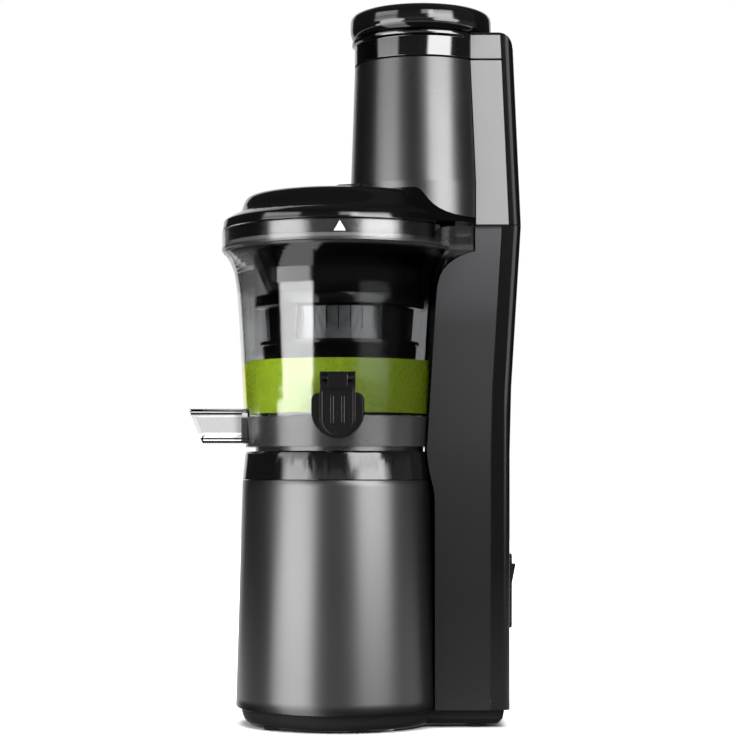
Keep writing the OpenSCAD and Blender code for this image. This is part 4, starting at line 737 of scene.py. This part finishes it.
# Each softbox on the wall: from and to which azimuth, its soft edge, and its light by height.
# Azimuth is in degrees from the camera's side toward +X. Boxes of one stack share an azimuth, and
# each one is as wide and as bright as the part of the machine that reflects its height asks for.
SOFTBOXES = (
    (-76, -34, 5, [
        (-2, 0), (-0.3, 0), (-0.27, 4.8), (-0.2, 5.9), (-0.1, 7.4), (0, 8.2), (0.09, 10.5),
        (0.11, 0), (2, 0),
    ]),
    (-67, -29, 4, [
        (-2, 3.0), (-0.66, 3.0), (-0.56, 5.5), (-0.3, 5.5), (-0.27, 0), (0.09, 0), (0.11, 11),
        (0.2, 10), (0.52, 9.2), (0.56, 0),
    ]),
    (-62, -40, 13, [(-2, 0), (0.52, 0), (0.56, 10), (0.66, 9.5), (0.7, 0), (2, 0)]),
    (-77, -42, 6, [
        (-2, 0), (0.66, 0), (0.7, 5.4), (0.79, 4.6), (0.93, 2.6), (1.05, 2.6), (1.15, 4.7),
        (1.45, 4.7), (1.55, 0), (3, 0),
    ]),
    (26, 56, 6, [
        (-2, 0), (-0.3, 0), (-0.26, 0.8), (0.065, 0.9), (0.11, 8.4), (0.15, 8.4), (0.165, 0),
        (2, 0),
    ]),
    (28, 45, 7, [(-2, 0), (0.15, 0), (0.165, 8.6), (0.2, 8.6), (0.22, 0), (2, 0)]),
    (24, 58, 7, [
        (-2, 0), (0.2, 0), (0.22, 13), (0.27, 13), (0.33, 10), (0.52, 10), (0.56, 0), (2, 0),
    ]),
    (15, 49, 6, [
        (-2, 0), (0.66, 0), (0.7, 10), (0.8, 12.5), (1.02, 13), (1.08, 11), (1.3, 9), (1.5, 0),
        (3, 0),
    ]),
    (3, 18, 4, [(-2, 0), (1.02, 0), (1.1, 5), (1.45, 5), (1.5, 0), (3, 0)]),
    (54, 92, 10, [
        (-2, 0), (-0.3, 0), (-0.26, 1.3), (-0.2, 1.1), (-0.06, 0.6), (0.1, 0.3), (0.6, 0.3),
        (0.7, 0.1), (1.6, 0.1),
    ]),
    (30, 50, 15, [(-2, 0), (0.52, 0), (0.56, 13.5), (0.66, 13.5), (0.7, 0), (2, 0)]),
    (-30, 20, 12, [
        (-2, 0), (-0.3, 0), (-0.26, 1.2), (-0.22, 1.2), (-0.1, 0.1), (0.17, 0.25), (0.48, 0.15),
        (0.54, 0.8), (0.64, 0.8), (0.7, 0.15), (1.6, 0),
    ]),
    (-148, 148, 8, [
        (-2, 0), (-0.3, 0), (-0.27, 1.2), (-0.2, 0.7), (-0.12, 0.2), (0, 0), (2, 0),
    ]),
    (-150, -90, 10, [
        (-2, 0), (-0.3, 0), (-0.27, 0.7), (-0.2, 0.6), (-0.08, 0.1), (0.0, 0), (2, 0),
    ]),
    (84, 125, 12, [
        (-2, 0), (-0.3, 0), (-0.27, 1.8), (-0.2, 1.6), (-0.05, 0.5), (0.05, 0), (2, 0),
    ]),
)


def softbox_wall(boxes):
    """The studio as glossy surfaces see it: a dark wall with softboxes."""
    finish, tree, shader = new_finish("reflected_room")
    x, y, z = axes(tree)
    turn = combine(tree, "ARCTAN2", x, product(tree, y, -1.0))
    azimuth = product(tree, turn, 180 / math.pi)
    lit = [
        product(tree, window(tree, azimuth, low, high, soft), profile(tree, z, levels))
        for low, high, soft, levels in boxes
    ]
    total = lit[0]
    for light in (*lit[1:], ROOM_LEVEL):
        total = combine(tree, "ADD", total, light)
    set_surface(tree, add_node(tree, "ShaderNodeEmission", {"Strength": total}).outputs["Emission"])
    tree.nodes.remove(shader)
    finish.cycles.emission_sampling = "NONE"
    return finish


deselect()
bpy.ops.mesh.primitive_cylinder_add(
    vertices=128, radius=2.4, depth=5.0, location=(0, 0, 0.5), end_fill_type="NGON"
)
room = new_piece("studio_room")
apply_place(room)
start_editing()
select_faces(room, lambda middle, normal: (
    abs(normal.z) < 0.5 and abs(math.degrees(math.atan2(middle.x, -middle.y))) > ROOM_OPEN
))
bpy.ops.mesh.delete(type="FACE")
stop_editing()
room.data.materials.append(softbox_wall(SOFTBOXES))
room.visible_camera = room.visible_diffuse = room.visible_shadow = False


# ------------------------------------------------------------------ floor

GLOW_MIDDLE_X = 0.038  # the floor's own light starts away from a line under the machine
GLOW_HALF = 0.055


def pale_floor():
    """Pale matt floor that lights itself, except under the machine."""
    finish, tree, shader = new_finish("pale_floor")
    ray = tree.nodes.new("ShaderNodeLightPath").outputs
    x, y, _ = axes(tree)

    # through the glass only the floor behind is bright: rays that the glass turns back end in front
    behind = step_up(tree, y, 0.06, 0.2)
    turned_back = product(tree, ray["Is Transmission Ray"], opposite(tree, behind))
    tone = mixed(tree, ray["Is Diffuse Ray"], (0.82, 0.82, 0.82), (0.28, 0.28, 0.28))
    tone = mixed(tree, turned_back, tone, (0.01, 0.01, 0.01))

    # its own light grows away from the machine, so that only the shadow near by shows
    along = combine(tree, "ABSOLUTE", combine(tree, "SUBTRACT", x, GLOW_MIDDLE_X))
    along = combine(tree, "MAXIMUM", combine(tree, "SUBTRACT", along, GLOW_HALF), 0.0)
    squares = combine(tree, "ADD", combine(tree, "POWER", along, 2.0), product(tree, y, y))
    away = combine(tree, "SQRT", squares)
    near_glow = product(tree, step_up(tree, away, 0.06, 0.16), 0.35)
    far_glow = product(tree, step_up(tree, away, 0.2, 1.2), 0.8)
    glow = combine(tree, "ADD", near_glow, far_glow)
    seen = largest(tree, ray["Is Camera Ray"], product(tree, ray["Is Transmission Ray"], behind))

    for key, value in {
        "Base Color": tone, "Roughness": 0.9, "Specular IOR Level": 0.0,
        "Emission Color": (1, 1, 1, 1), "Emission Strength": product(tree, seen, glow),
    }.items():
        feed(tree, shader.inputs[key], value)
    return finish


deselect()
bpy.ops.mesh.primitive_plane_add(size=8, location=(0, 0, 0))
floor = new_piece("studio_floor")
floor.data.materials.append(pale_floor())
floor.visible_glossy = False


# ------------------------------------------------------------------ world and camera

WORLD_SEEN = 1.0  # the world's light where a ray sees it
WORLD_FILL = 0.35  # and as fill on matt surfaces

world = bpy.data.worlds.new("studio_world")
bpy.context.scene.world = world
world.use_nodes = True
tree = world.node_tree
ray = tree.nodes.new("ShaderNodeLightPath").outputs
seen = largest(tree, ray["Is Camera Ray"], ray["Is Glossy Ray"], ray["Is Transmission Ray"])
sky = tree.nodes["Background"]
feed(tree, sky.inputs["Color"], (1, 1, 1, 1))
feed(tree, sky.inputs["Strength"], between(tree, seen, WORLD_FILL, WORLD_SEEN, (0.0, 1.0)))

camera_data = bpy.data.cameras.new("camera")
camera_data.lens = 101.9
camera_data.sensor_width = 36
camera_data.shift_y = 0.152
camera = bpy.data.objects.new("camera", camera_data)
bpy.context.scene.collection.objects.link(camera)
camera.location = (17.8 * mm, -1.3, 151.6 * mm)
camera.rotation_euler = (math.radians(90), 0, 0)
bpy.context.scene.camera = camera
bpy.context.scene.view_settings.view_transform = "Standard"
